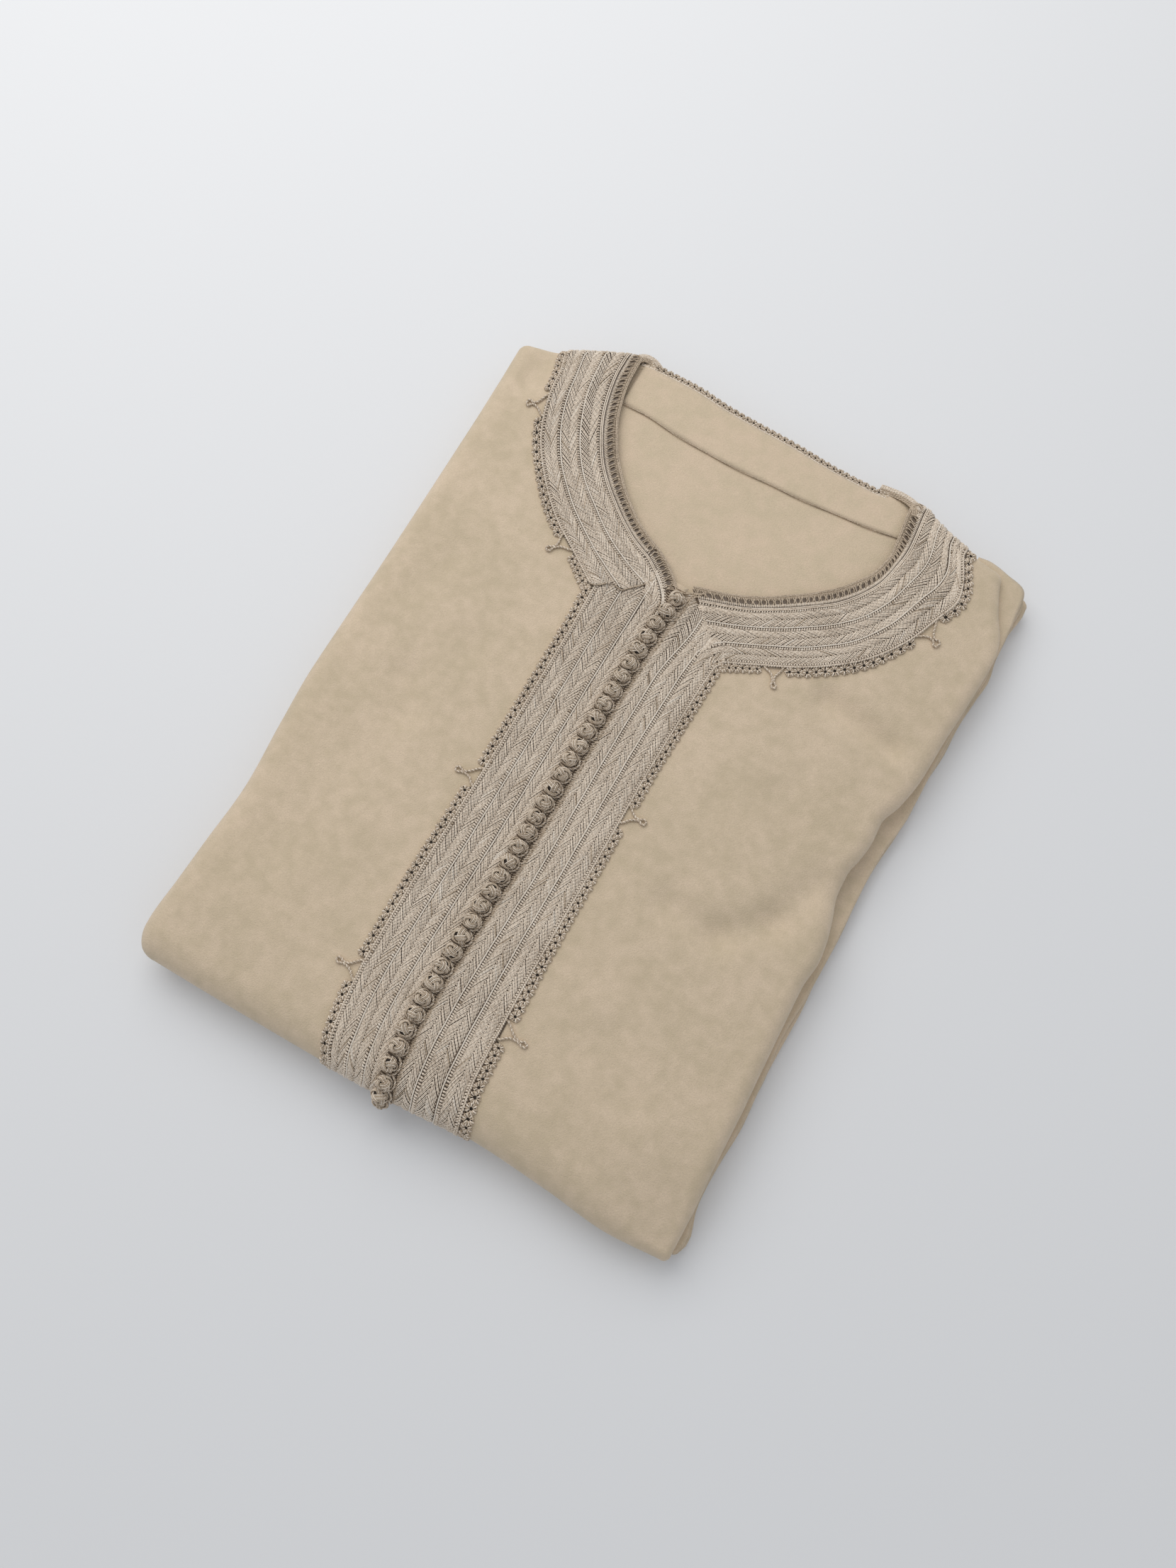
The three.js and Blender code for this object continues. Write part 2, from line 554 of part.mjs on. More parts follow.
// ---- back of the neck: the back panel's inside, its facing, picot and braid, seen through the opening ----
// Depths below the outer face of the fronts, from the facing on top to the braid sewn on the back's outside.
const under = { facing: 1.5, back: 2.8, braid: 4.3, hidden: 5.9 };
const hollow = { x: 0, y: 160, halfWidth: 80, halfLength: 60, depth: 1.0 };
const backEdgeSpan = { from: -80, to: 67 };

const insideWiden = 1.6;                    // creases are softer in the layers below
const backPlace = ({ x, y }, lift) => {
  const away = Math.hypot((x - hollow.x) / hollow.halfWidth, (y - hollow.y) / hollow.halfLength);
  const dip = hollow.depth * ease(1 - away);
  return new THREE.Vector3(x, y, topHeight(x, y, insideWiden) - dip + lift);
};
const backEdge = { tuckedIn: 8.5, fade: 6 };
const backEdgeY = (x) => {
  const { from, to } = backEdgeSpan;
  const open = ease((x - from) / backEdge.fade + 1) * ease((to - x) / backEdge.fade + 1);
  return shoulderEdge(x) - mix(backEdge.tuckedIn, picot.back + ply, open);
};
const facingSeamY = through([
  { x: -90, y: 186 }, { x: -75, y: 185.5 }, { x: -50, y: 182.6 }, { x: -20, y: 180.5 },
  { x: 10, y: 180.5 }, { x: 45, y: 181.5 }, { x: 65, y: 183 }, { x: 85, y: 185.5 },
], 'x', 'y');
const gridBetween = (xs, lowY, highY, rows) => even(rows).map((share) => (
  xs.map((x) => ({ x, y: mix(lowY(x), highY(x), share) }))));

const backXs = [-110, -97, -86, -80, -62, -44, -26, -8, 10, 28, 46, 60, 67, 74, 84, 96, 106];
const facingXs = backXs.filter((x) => x >= -86 && x <= 84);
const openXs = backXs.filter((x) => x >= backEdgeSpan.from && x <= backEdgeSpan.to);
const backLayer = { lowestY: 90, facingThick: 1.0, braidWidth: 30, picotOver: 0.4 };

const backGrid = gridBetween(backXs, () => backLayer.lowestY, backEdgeY, 8);
addPiece('back_panel', wallOver(backGrid, -under.back - cloth, -under.back, backPlace), crepeInside);

const facingGrid = gridBetween(facingXs, facingSeamY, backEdgeY, 2);
const facingLow = -under.facing - backLayer.facingThick;
addPiece('back_facing', wallOver(facingGrid, facingLow, -under.facing, backPlace), crepeInside);

const backBraidGrid = gridBetween(openXs, (x) => backEdgeY(x) - backLayer.braidWidth, backEdgeY, 3);
addPiece('neck_braid_back', wallOver(backBraidGrid, -under.braid - braid, -under.braid, backPlace), silk);

const backPicotGrid = gridBetween(openXs, (x) => shoulderEdge(x) - picot.back, shoulderEdge, 1);
const backPicotHigh = backLayer.picotOver - under.back;
const backPicot = wallOver(backPicotGrid, backPicotHigh - picot.thick, backPicotHigh, backPlace);
addPiece('picot_back', backPicot, silkCord);

// ---- edge of the left sleeve, folded in under the left shoulder ----
const sleeveRows = [
  { innerX: 124, innerY: 193.5, outerX: 124.5, outerY: 199.5 },
  { innerX: 131, innerY: 192.5, outerX: 132, outerY: 200 },
  { innerX: 138.5, innerY: 191, outerX: 142, outerY: 197.5 },
  { innerX: 143.5, innerY: 184, outerX: 153.5, outerY: 193 },
  { innerX: 147, innerY: 174, outerX: 155.5, outerY: 178 },
  { innerX: 150, innerY: 164, outerX: 156, outerY: 164 },
  { innerX: 151.5, innerY: 152, outerX: 156, outerY: 150 },
];
const sleeveHeight = 14;
const sleevePlace = ({ x, y }, lift) => new THREE.Vector3(x, y, sleeveHeight + lift);
const sleeveGrid = sleeveRows.map((row) => (
  [{ x: row.innerX, y: row.innerY }, { x: row.outerX, y: row.outerY }]));
addPiece('sleeve_left', wallOver(sleeveGrid, 0, cloth, sleevePlace), crepe);

// ---- all that the folded fronts hide, one layered solid: back, sleeves, sides and the skirt folded up ----
const lowerLeft = through([
  { y: -193, x: 147 }, { y: -176, x: 150.6 }, { y: -163, x: 153 }, { y: -132, x: 154 },
  { y: -90, x: 155.5 }, { y: -56, x: 155 }, { y: -9, x: 160 }, { y: 17, x: 159 },
  { y: 51, x: 162 }, { y: 98, x: 160.5 }, { y: 170, x: 161 }, { y: 183, x: 161.6 }, { y: 197, x: 158 },
], 'y', 'x');
const lowerBack = through([
  { x: -155, y: 190 }, { x: -100, y: 199 }, { x: -60, y: 204 }, { x: 40, y: 202 },
  { x: 90, y: 199 }, { x: 130, y: 196.5 }, { x: 160, y: 191 },
], 'x', 'y');
// The solid stays this far inside the fronts' fold, and its turn ends above theirs.
const insideRoll = { inset: 2.6, rise: 0.28, leastRise: 2.4, mostRise: 4.6, turns: [38, 76, 114, 150] };
const ledgeAt = { reach: 0.3, below: 0.9, sleeveRoom: 1.4 };
const overhang = { right: 2.5, bottom: -3 };
// Edges of the folded layers, from the top one down: height as a share of the ledge, inset from the outline.
const plies = [
  { height: 0.92, inset: 0.9 }, { height: 0.72, inset: 0.5 }, { height: 0.65, inset: 3.4 },
  { height: 0.58, inset: -0.4 }, { height: 0.38, inset: -0.6 }, { height: 0.32, inset: 2.6 },
  { height: 0.25, inset: 0.2 }, { height: 0.07, inset: 0.3 }, { height: 0, inset: 1.4 },
];

// How deep the solid lies below the outer face of the fronts: deeper under the back panel, and deeper again
// under the braid of the back.
const hidden = { depth: 2.2, underBack: 4.7 + hollow.depth, underBraid: under.hidden + hollow.depth };
const fade = 14;

function hiddenDepth(x, y) {
  const belowBack = ease((x + 130) / fade) * ease((126 - x) / fade) * ease((y - 74) / fade);
  const belowBraid = ease((x + 100) / fade) * ease((90 - x) / fade) * ease((y - 162) / 12);
  const { depth, underBack, underBraid } = hidden;
  return depth + belowBack * (underBack - depth) + belowBraid * (underBraid - underBack + 0.1);
}
const hiddenXs = [-130, -116, -100, -86, -50, -15, 20, 54, 76, 90, 112, 126];
const hiddenYs = [-160, -130, -95, -60, -25, 10, 40, 60, 74, 88, 110, 135, 150, 162, 174];
const hiddenColumns = (y) => [sideLine(-1, y), ...hiddenXs, sideLine(1, y)];
const hiddenGrid = [null, ...hiddenYs, endLine(1, 0)].map((row) => (
  hiddenColumns(row ?? packet.bottomY).map((x) => ({ x, y: row ?? endLine(-1, x) }))));
const hiddenTop = ({ x, y }) => {
  const moved = shift(x, y);
  const plan = { x: x + moved.x, y: y + moved.y };
  const top = topHeight(plan.x, plan.y, insideWiden);
  return new THREE.Vector3(plan.x, plan.y, top - hiddenDepth(plan.x, plan.y));
};

function hiddenStations() {
  const lastRow = hiddenGrid.length - 1;
  const lastColumn = hiddenGrid[0].length - 1;
  const corner = (place, startAngle) => [22.5, 45, 67.5].map((angle) => (
    { ...place, angle: (startAngle + angle) * degrees }));
  const facing = (places, angle) => places.map((place) => ({ ...place, angle: angle * degrees }));
  const columnOf = (column) => hiddenGrid.map((row) => row[column]);
  return [
    ...facing(hiddenGrid[0], -90), ...corner(hiddenGrid[0][lastColumn], -90),
    ...facing(columnOf(lastColumn), 0), ...corner(hiddenGrid[lastRow][lastColumn], 0),
    ...facing([...hiddenGrid[lastRow]].reverse(), 90), ...corner(hiddenGrid[lastRow][0], 90),
    ...facing(columnOf(0).reverse(), 180), ...corner(hiddenGrid[0][0], 180),
  ];
}

function hiddenRim(station) {
  const foot = hiddenTop(station);
  const dirX = Math.cos(station.angle);
  const dirY = Math.sin(station.angle);
  const reachX = sideReach(dirX, station.y) - insideRoll.inset;
  const reachY = endReach(dirY, station.x) - insideRoll.inset;
  const lowX = dirX < 0 ? turnedLow.right(station.y) : turnedLow.left(station.y);
  const lowY = dirY < 0 ? turnedLow.bottom(station.x) : turnedLow.shoulder(station.x);
  const low = lowX * dirX ** 2 + lowY * dirY ** 2;
  const rise = clamp(insideRoll.rise * (foot.z - low), insideRoll.leastRise, insideRoll.mostRise);
  const outside = {
    x: dirX < 0 ? rightSide(station.y) + overhang.right : lowerLeft(station.y),
    y: dirY < 0 ? foot.y + overhang.bottom : lowerBack(foot.x),
  };
  const reaching = (share, z) => (
    new THREE.Vector3(foot.x + dirX * reachX * share, foot.y + dirY * reachY * share, z));
  const rolled = insideRoll.turns.map((angle) => angle * degrees).map((turn) => (
    reaching(Math.sin(turn), foot.z - (foot.z - low - rise) * (1 - Math.cos(turn)) / 2)));
  const underSleeve = ease((foot.x - 110) / fade) * ease((foot.y - 138) / fade);
  const ledge = low - ledgeAt.below - ledgeAt.sleeveRoom * underSleeve;
  const crease = reaching(ledgeAt.reach, ledge);
  const lobes = plies.map(({ height, inset }) => new THREE.Vector3(
    foot.x + Math.abs(dirX) * (outside.x - foot.x) - dirX * inset,
    foot.y + Math.abs(dirY) * (outside.y - foot.y) - dirY * inset,
    ledge * height,
  ));
  return [foot, ...rolled, crease, ...lobes];
}

function hiddenLayers() {
  const top = hiddenGrid.map((row) => row.map(hiddenTop));
  const rims = hiddenStations().map(hiddenRim);
  const points = [...top.flat(), ...rims.flat(), new THREE.Vector3(0, 0, 0)];
  const columns = top[0].length;
  const rings = rims[0].length;
  const onTop = (row, column) => row * columns + column;
  const onRim = (station, ring) => top.length * columns + (station % rims.length) * rings + ring;
  const triangles = [];
  const quad = (a, b, c, d) => triangles.push([a, b, c], [a, c, d]);
  for (let row = 0; row + 1 < top.length; row += 1) {
    for (let column = 0; column + 1 < columns; column += 1) {
      quad(onTop(row, column), onTop(row, column + 1), onTop(row + 1, column + 1), onTop(row + 1, column));
    }
  }
  for (let station = 0; station < rims.length; station += 1) {
    for (let ring = 0; ring + 1 < rings; ring += 1) {
      const [near, far] = [station, station + 1];
      quad(onRim(near, ring), onRim(near, ring + 1), onRim(far, ring + 1), onRim(far, ring));
    }
    triangles.push([points.length - 1, onRim(station + 1, rings - 1), onRim(station, rings - 1)]);
  }
  return bodyFrom(points, triangles);
}
addPiece('hidden_layers', hiddenLayers(), crepe);

kaftan.position.set(-boxCentre.x, -boxCentre.y, 0);

export default kaftan;
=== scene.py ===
import math

import bmesh
import bpy
import numpy as np
from mathutils import Matrix, Vector

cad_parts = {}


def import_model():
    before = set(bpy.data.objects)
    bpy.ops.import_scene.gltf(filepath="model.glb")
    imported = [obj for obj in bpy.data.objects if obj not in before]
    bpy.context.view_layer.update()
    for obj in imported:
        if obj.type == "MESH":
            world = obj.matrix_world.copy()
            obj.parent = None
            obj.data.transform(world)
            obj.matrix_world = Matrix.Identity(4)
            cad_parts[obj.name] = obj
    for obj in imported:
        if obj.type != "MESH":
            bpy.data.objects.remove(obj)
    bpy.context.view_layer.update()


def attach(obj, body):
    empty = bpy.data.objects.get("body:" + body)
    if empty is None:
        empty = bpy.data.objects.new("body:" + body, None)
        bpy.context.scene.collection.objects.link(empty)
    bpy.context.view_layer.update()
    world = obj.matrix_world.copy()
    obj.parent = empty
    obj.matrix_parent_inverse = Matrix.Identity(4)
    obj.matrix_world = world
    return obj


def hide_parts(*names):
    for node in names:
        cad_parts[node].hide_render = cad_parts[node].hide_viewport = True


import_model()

# ========================================
# The two fronts. Sand-beige sueded crepe, cut as two panels that meet edge to edge down the middle. They
# are folded over padding layers of their own skirt, so they roll over both sides, the bottom and the
# shoulders. All sizes are in millimetres on the laid-out cloth, with y up to the neck.
MM = 0.001
PACKET_CENTRE = np.array([4.08, 9.22, 0.0])
SIDES = ("right", "left")
HALF_WIDTH, BOTTOM_Y, SHOULDER_Y = 150.0, -193.0, 197.0
PLY = 0.3        # gap between one layer and the next


def ease(value):
    t = np.clip(value, 0.0, 1.0)
    return t * t * (3 - 2 * t)


def mix(low, high, share):
    return low + (high - low) * share


def through(at, to, rounded=False):
    """A smooth curve through (at, to) pairs. It never overshoots them, unless it is rounded."""
    at, to = np.asarray(at, float), np.asarray(to, float)
    slope = np.diff(to) / np.diff(at)
    before, after = np.r_[slope[0], slope], np.r_[slope, slope[-1]]
    both = np.where(before * after > 0, before + after, 1.0)
    tangent = np.where(before * after > 0, 2 * before * after / both, 0.0)
    if rounded:
        tangent = (before + after) / 2

    def curve(place):
        q = np.clip(place, at[0], at[-1])
        k = np.clip(np.searchsorted(at, q, side="right") - 1, 0, len(slope) - 1)
        width = at[k + 1] - at[k]
        t = (q - at[k]) / width
        held = to[k] * (1 + 2 * t) * (1 - t) ** 2 + to[k + 1] * t * t * (3 - 2 * t)
        return held + width * t * (1 - t) * (tangent[k] * (1 - t) - tangent[k + 1] * t)

    return curve


def curve_of(rows):
    return through(*zip(*rows))


def unit(vectors):
    return vectors / np.linalg.norm(vectors, axis=-1, keepdims=True)


def lengths_along(places):
    return np.r_[0, np.cumsum(np.linalg.norm(np.diff(places, axis=0), axis=1))]


# Outline of the top fold: x of each side at a height y, and y of each end at a place x.
side_x = {
    -1: curve_of([(-193, -150), (-175, -151.8), (-154, -150.2), (-129, -149), (-100, -147.5), (-60, -150.5),
                  (-26, -152.5), (51, -152), (134, -152.5), (197, -154.5)]),
    1: curve_of([(-193, 146), (-170, 146), (-142, 145), (-120, 145), (-100, 144.5), (-76, 144),
                 (-51, 143.6), (-36, 145.4), (-26, 144.5), (-14, 142), (-1, 138.8), (10, 138.4),
                 (20, 140.8), (31, 142.2), (41, 141.8), (54, 146.3), (71, 149.8), (99, 151.8),
                 (113, 153.3), (148, 155.5), (160, 153.5), (174, 147), (190, 141), (197, 139)]),
}
end_y = {
    -1: curve_of([(-150, -193), (-100, -193.4), (-46, -193.2), (0, -191.8), (40, -189.5), (80, -191.5),
                  (118, -194.5), (150, -192.5)]),
    1: curve_of([(-155, 192), (-138, 196), (-129, 198.5), (-118, 204), (-106, 210.5), (-92, 216.5),
                 (-80, 217.5), (-57, 217), (-30, 213.5), (8, 211), (40, 208), (60, 207.5), (78, 209),
                 (87, 209), (97, 205), (108, 202), (122, 198.5), (132, 196), (150, 193)]),
}
# How far the cloth reaches past each fold line, and how low it turns.
side_reach = {
    -1: curve_of([(-193, 13), (-165, 13), (60, 12), (150, 10), (197, 7)]),
    1: curve_of([(-193, 4), (-182, 5), (-160, 8), (0, 9), (150, 9), (197, 7)]),
}
end_reach = {
    -1: curve_of([(-150, 15), (-132, 17), (-60, 19), (0, 20), (40, 20), (85, 21), (112, 18), (132, 9),
                  (146, 5.5), (150, 5)]),
    1: curve_of([(-150, 6), (150, 6)]),
}
side_low = {
    -1: curve_of([(-193, 8), (197, 8)]),
    1: curve_of([(-193, 9), (-120, 10.5), (120, 10.5), (160, 15.5), (197, 15.5)]),
}
end_low = {
    -1: curve_of([(-150, 1.8), (150, 1.8)]),
    1: curve_of([(-150, 12.5), (100, 12.5), (130, 15.5), (150, 15.5)]),
}
lengthwise = curve_of([(-193, 25.5), (-176, 28), (-150, 29.5), (-80, 28.5), (0, 27.5), (80, 27),
                       (140, 26), (180, 24.5), (212, 23)])
RIGHT_SAG, LEFT_SAG = 2.0, 3.5
# The lower left corner sinks: from x over a width, from y over a height, and how deep.
CORNER_X, CORNER_WIDE, CORNER_Y, CORNER_HIGH, CORNER_DROP = 92, 56, -132, 58, 6
# Creases and dimples of the top: from x, from y, to x, to y, depth, width.
creases = [
    (90, 84, 128, 77, 3.6, 7), (131, 0, 118, -28, 2.4, 9), (116, -32, 98, -48, 2.8, 9),
    (94, -50, 68, -48, 2.2, 9), (92, 28, 124, -4, 1.3, 10), (-105, -10, -96, -26, 2.2, 10),
    (-112, -60, -114, -112, 1.9, 18), (-87, 24, -84, 18, 1.2, 9), (-134, 192, -137, 172, 1.6, 8),
    (-118, 62, -126, 34, 1.0, 9), (74, -118, 96, -134, 1.2, 11), (-84, -132, -70, -150, 1.0, 12),
]


def top_height(x, y, widen=1.0):
    height = lengthwise(y) - np.where(x < 0, RIGHT_SAG, LEFT_SAG) * (x / HALF_WIDTH) ** 4
    for from_x, from_y, to_x, to_y, depth, width in creases:
        run_x, run_y = to_x - from_x, to_y - from_y
        t = np.clip(((x - from_x) * run_x + (y - from_y) * run_y) / (run_x**2 + run_y**2), 0, 1)
        away = np.hypot(x - from_x - run_x * t, y - from_y - run_y * t)
        height = height - depth * np.exp(-((away / (width * widen)) ** 2))
    return height - CORNER_DROP * ease((x - CORNER_X) / CORNER_WIDE) * ease((CORNER_Y - y) / CORNER_HIGH)


# Where the cloth starts to follow the outline, and over what length, at the sides, bottom and shoulders.
SIDE_FADE, BOTTOM_FADE, SHOULDER_FADE = (85, 45), (133, 35), (130, 58)


def faded(place, fade):
    return ease((place - fade[0]) / fade[1])


def shift(x, y):
    """How far the laid-out rectangle moves to meet the outline; the shift fades inwards."""
    across = ((side_x[-1](y) + HALF_WIDTH) * faded(-x, SIDE_FADE)
              + (side_x[1](y) - HALF_WIDTH) * faded(x, SIDE_FADE))
    along = ((end_y[-1](x) - BOTTOM_Y) * faded(-y, BOTTOM_FADE)
             + (end_y[1](x) - SHOULDER_Y) * faded(y, SHOULDER_FADE))
    return across, along


def laid_out(plan_x, plan_y):
    x, y = np.array(plan_x, float), np.array(plan_y, float)
    for _ in range(8):
        across, along = shift(x, y)
        x, y = plan_x - across, plan_y - along
    return x, y


def pick(by_sign, sign, place):
    return np.where(sign < 0, by_sign[-1](place), by_sign[1](place))


def end_line(end, x):
    return np.where(end < 0, BOTTOM_Y, SHOULDER_Y) - end * pick(end_reach, end, x)


def side_line(side, y):
    return side * (HALF_WIDTH - pick(side_reach, side, y))


def roll_of(reach, top, low):
    """Radius that stands for a fold: the mean of how far it reaches out and half of how far it drops."""
    return (reach + (top - low) / 2) / 2


def laid(x, y, lift=0.0):
    """Points in metres over laid-out cloth that runs on round the folds, lifted off its outer face."""
    x, y, lift = (np.asarray(v, float) for v in np.broadcast_arrays(x, y, lift))
    side, end = np.where(x < 0, -1, 1), np.where(y < 0, -1, 1)
    fold_x = side * side_line(side, y)
    foot_x = side * np.minimum(side * x, fold_x)
    fold_y = end * end_line(end, x)
    foot_y = end * np.minimum(end * y, fold_y)
    across, along = shift(foot_x, foot_y)
    plan_x, plan_y = foot_x + across, foot_y + along
    top = top_height(plan_x, plan_y)
    reach_x, reach_y = pick(side_reach, side, foot_y), pick(end_reach, end, foot_x)
    low_x, low_y = pick(side_low, side, foot_y), pick(end_low, end, foot_x)
    turn_x = np.maximum(0, side * x - fold_x) / roll_of(reach_x, top, low_x)
    turn_y = np.maximum(0, end * y - fold_y) / roll_of(reach_y, top, low_y)
    turn = np.maximum(turn_x, turn_y)
    both = np.where(turn > 0, np.hypot(turn_x, turn_y), 1.0)
    share_x, share_y = turn_x / both, turn_y / both
    drop = (top - low_x * share_x**2 - low_y * share_y**2) / 2
    out_x, out_y = side * reach_x * share_x, end * reach_y * share_y
    level = np.stack([out_x / reach_x**2, out_y / reach_y**2], -1)
    size = np.linalg.norm(level, axis=-1, keepdims=True)
    level = level / np.where(size > 0, size, 1) * (np.sin(turn) * drop)[..., None]
    rise = np.where(turn > 0, np.cos(turn) * np.hypot(out_x, out_y), 1.0)
    normal = unit(np.concatenate([level, rise[..., None]], -1))
    place = np.stack([plan_x + out_x * np.sin(turn), plan_y + out_y * np.sin(turn),
                      top - drop * (1 - np.cos(turn))], -1)
    return (place + normal * lift[..., None] - PACKET_CENTRE) * MM


# The neck opening: inner x, y and outer x, y of the braid round it, from the notch to the shoulder.
neck_rows = {
    "right": [(-10.5, 103.5, -45.5, 79), (-39, 115.5, -62, 91), (-60.5, 132.5, -85, 108),
              (-77, 150, -102.5, 127.5), (-87, 167, -115.5, 148.5), (-93, 183, -122.5, 170),
              (-96, 196.5, -124.5, 184.5)],
    "left": [(4.5, 100.5, 32, 74), (31, 109.5, 49.5, 82.5), (56, 124.5, 74.5, 94.5),
             (73.5, 139, 96.5, 111.5), (84, 155.5, 110.5, 131.5), (87.5, 170, 119.5, 152.5),
             (88.5, 184, 124.5, 174)],
}
neck_at_shoulder = {"right": (-95.5, -123.5), "left": (87, 127)}
NECK_WIDTH = 33.0


def neck_edges(side):
    rows = np.array(neck_rows[side], float)
    shoulder = float(end_line(1, 0))
    inner_x, outer_x = neck_at_shoulder[side]
    inner = np.vstack([np.stack(laid_out(rows[:, 0], rows[:, 1]), 1), (inner_x, shoulder)])
    outer = np.vstack([np.stack(laid_out(rows[:, 2], rows[:, 3]), 1), (outer_x, shoulder)])
    run = lengths_along((inner + outer) / 2)
    curves = [through(run, edge[:, axis], rounded=True) for edge in (outer, inner) for axis in (0, 1)]
    return curves, run[-1], inner[0], outer[0]


neck_curves, neck_length, notch_inner, notch_outer = (
    dict(zip(SIDES, part)) for part in zip(*(neck_edges(side) for side in SIDES)))


def neck_at(side, share, run):
    """Laid-out x and y on a neck braid: share 0 is its outer edge and 1 its inner one."""
    length, (outer_x, outer_y, inner_x, inner_y) = neck_length[side], neck_curves[side]
    held = np.clip(run, 0.5, length)
    ahead = held + 0.5
    x, y = mix(outer_x(held), inner_x(held), share), mix(outer_y(held), inner_y(held), share)
    step_x = mix(outer_x(ahead), inner_x(ahead), share) - x
    step_y = mix(outer_y(ahead), inner_y(ahead), share) - y
    before, beyond = np.minimum(run - 0.5, 0) / 0.5, np.maximum(run - length, 0)
    return x + step_x * before, y + step_y * before + beyond


# Braid edges down the front: y, then x of right outer, right inner, left inner and left outer.
placket_rows = [
    (-190, -37.5, -11.4, -0.6, 33.6), (-180, -41.2, -13.3, -2.5, 31.6), (-170, -43.2, -14.8, -3.8, 29.7),
    (-155, -44.9, -15.8, -4.7, 29), (-140, -46, -15.8, -4.8, 28.6), (-100, -46, -14.5, -3.3, 27.8),
    (-60, -45.1, -13.4, -1.5, 28), (0, -44.1, -13, -1.3, 28.3), (50, -44, -12, -0.2, 30.2),
    (75, -44.6, -10.8, 1.8, 31.2), (105, -45.5, -9.5, 4.5, 32),
]
placket_y, *placket_x = zip(*placket_rows)
right_outer, right_inner, left_inner, left_outer = (through(placket_y, edge) for edge in placket_x)
KNOT_COLUMN, PLACKET_WIDTH = 9.0, 29.0


def seam_x(y):
    return right_inner(y) + KNOT_COLUMN


class Sum:
    """A number or vector in a material, so that sums of sockets are written as plain expressions."""

    def __init__(self, tree, socket):
        self.tree, self.socket = tree, socket

    def math(self, operation, other):
        node = self.tree.nodes.new("ShaderNodeMath")
        node.operation = operation
        feed(self.tree, node.inputs[0], self)
        feed(self.tree, node.inputs[1], other)
        return Sum(self.tree, node.outputs[0])

    def __add__(self, other):
        return self.math("ADD", other)

    def __mul__(self, other):
        return self.math("MULTIPLY", other)

    __radd__, __rmul__ = __add__, __mul__


def feed(tree, slot, value):
    if isinstance(value, Sum):
        tree.links.new(value.socket, slot)
    else:
        slot.default_value = value


class Finish:
    """A fabric finish: its material, and one method that adds any node to it."""

    def __init__(self, name):
        self.material = bpy.data.materials.new(name)
        self.material.use_nodes = True
        self.tree = self.material.node_tree
        self.shader = self.tree.nodes["Principled BSDF"]
        self.place = self.add("ShaderNodeTexCoord", {}, {}, "Object")

    def add(self, kind, settings, values, output=0):
        node = self.tree.nodes.new(kind)
        for key, value in settings.items():
            setattr(node, key, value)
        for key, value in values.items():
            feed(self.tree, node.inputs[key], value)
        return Sum(self.tree, node.outputs[output])

    def noise(self, scale, detail=2.0):
        values = {"Vector": self.place, "Scale": scale, "Detail": detail}
        return self.add("ShaderNodeTexNoise", {}, values, "Fac")

    def spread(self, value, low, high, top=1.0):
        """The value from low to high, stretched to run from 0 to top."""
        values = {"Value": value, "From Min": low, "From Max": high, "To Max": top}
        return self.add("ShaderNodeMapRange", {}, values)

    def blend(self, share, low, high):
        values = {0: share, 6: low, 7: high}
        return self.add("ShaderNodeMix", {"data_type": "RGBA"}, values, 2)

    def finish(self, colour, roughness, bump_height, bump_distance, **constants):
        feed(self.tree, self.shader.inputs["Base Color"], colour)
        feed(self.tree, self.shader.inputs["Roughness"], roughness)
        normal = self.add("ShaderNodeBump", {}, {"Height": bump_height, "Distance": bump_distance}, "Normal")
        feed(self.tree, self.shader.inputs["Normal"], normal)
        for name, value in constants.items():
            self.shader.inputs[name.replace("_", " ")].default_value = value
        return self.material


def tone(red, green, blue):
    """A colour written as it looks on a screen, from 0 to 255, turned into light."""
    shown = np.array([red, green, blue]) / 255
    light = np.where(shown <= 0.04045, shown / 12.92, ((shown + 0.055) / 1.055) ** 2.4)
    return (*light.tolist(), 1.0)


def crepe_finish(name, warm, cool):
    crepe = Finish(name)
    cloud, fleck, grain, nap = crepe.noise(30, 3), crepe.noise(1300), crepe.noise(2600), crepe.noise(150, 4)
    base = crepe.blend(crepe.spread(cloud * 0.45 + nap * 0.55, 0.38, 0.62), warm, cool)
    shade = crepe.spread(fleck, 0.3, 0.7, 0.34)
    darker = tuple(0.7 * part for part in warm[:3]) + (1.0,)
    colour = crepe.blend(shade, base, darker)
    relief = grain * 0.5 + fleck * 0.9
    return crepe.finish(colour, 0.86, relief, 0.00022, Sheen_Weight=0.25, Sheen_Roughness=0.5)


crepe = crepe_finish("sand_crepe", tone(225, 204, 177), tone(208, 190, 161))


def piece_from(name, mesh, slot, nodes, *finishes):
    """The visible piece of a mesh, which rides on the packet in place of the nodes."""
    piece = bpy.data.objects.new(name, mesh)
    bpy.context.scene.collection.objects.link(piece)
    for finish in finishes:
        mesh.materials.append(finish)
    mesh.polygons.foreach_set("use_smooth", np.ones(len(mesh.polygons), bool))
    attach(piece, "root")
    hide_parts(*nodes)
    return piece


def mesh_of(name, bm):
    mesh = bpy.data.meshes.new(name)
    bm.to_mesh(mesh)
    bm.free()
    return mesh


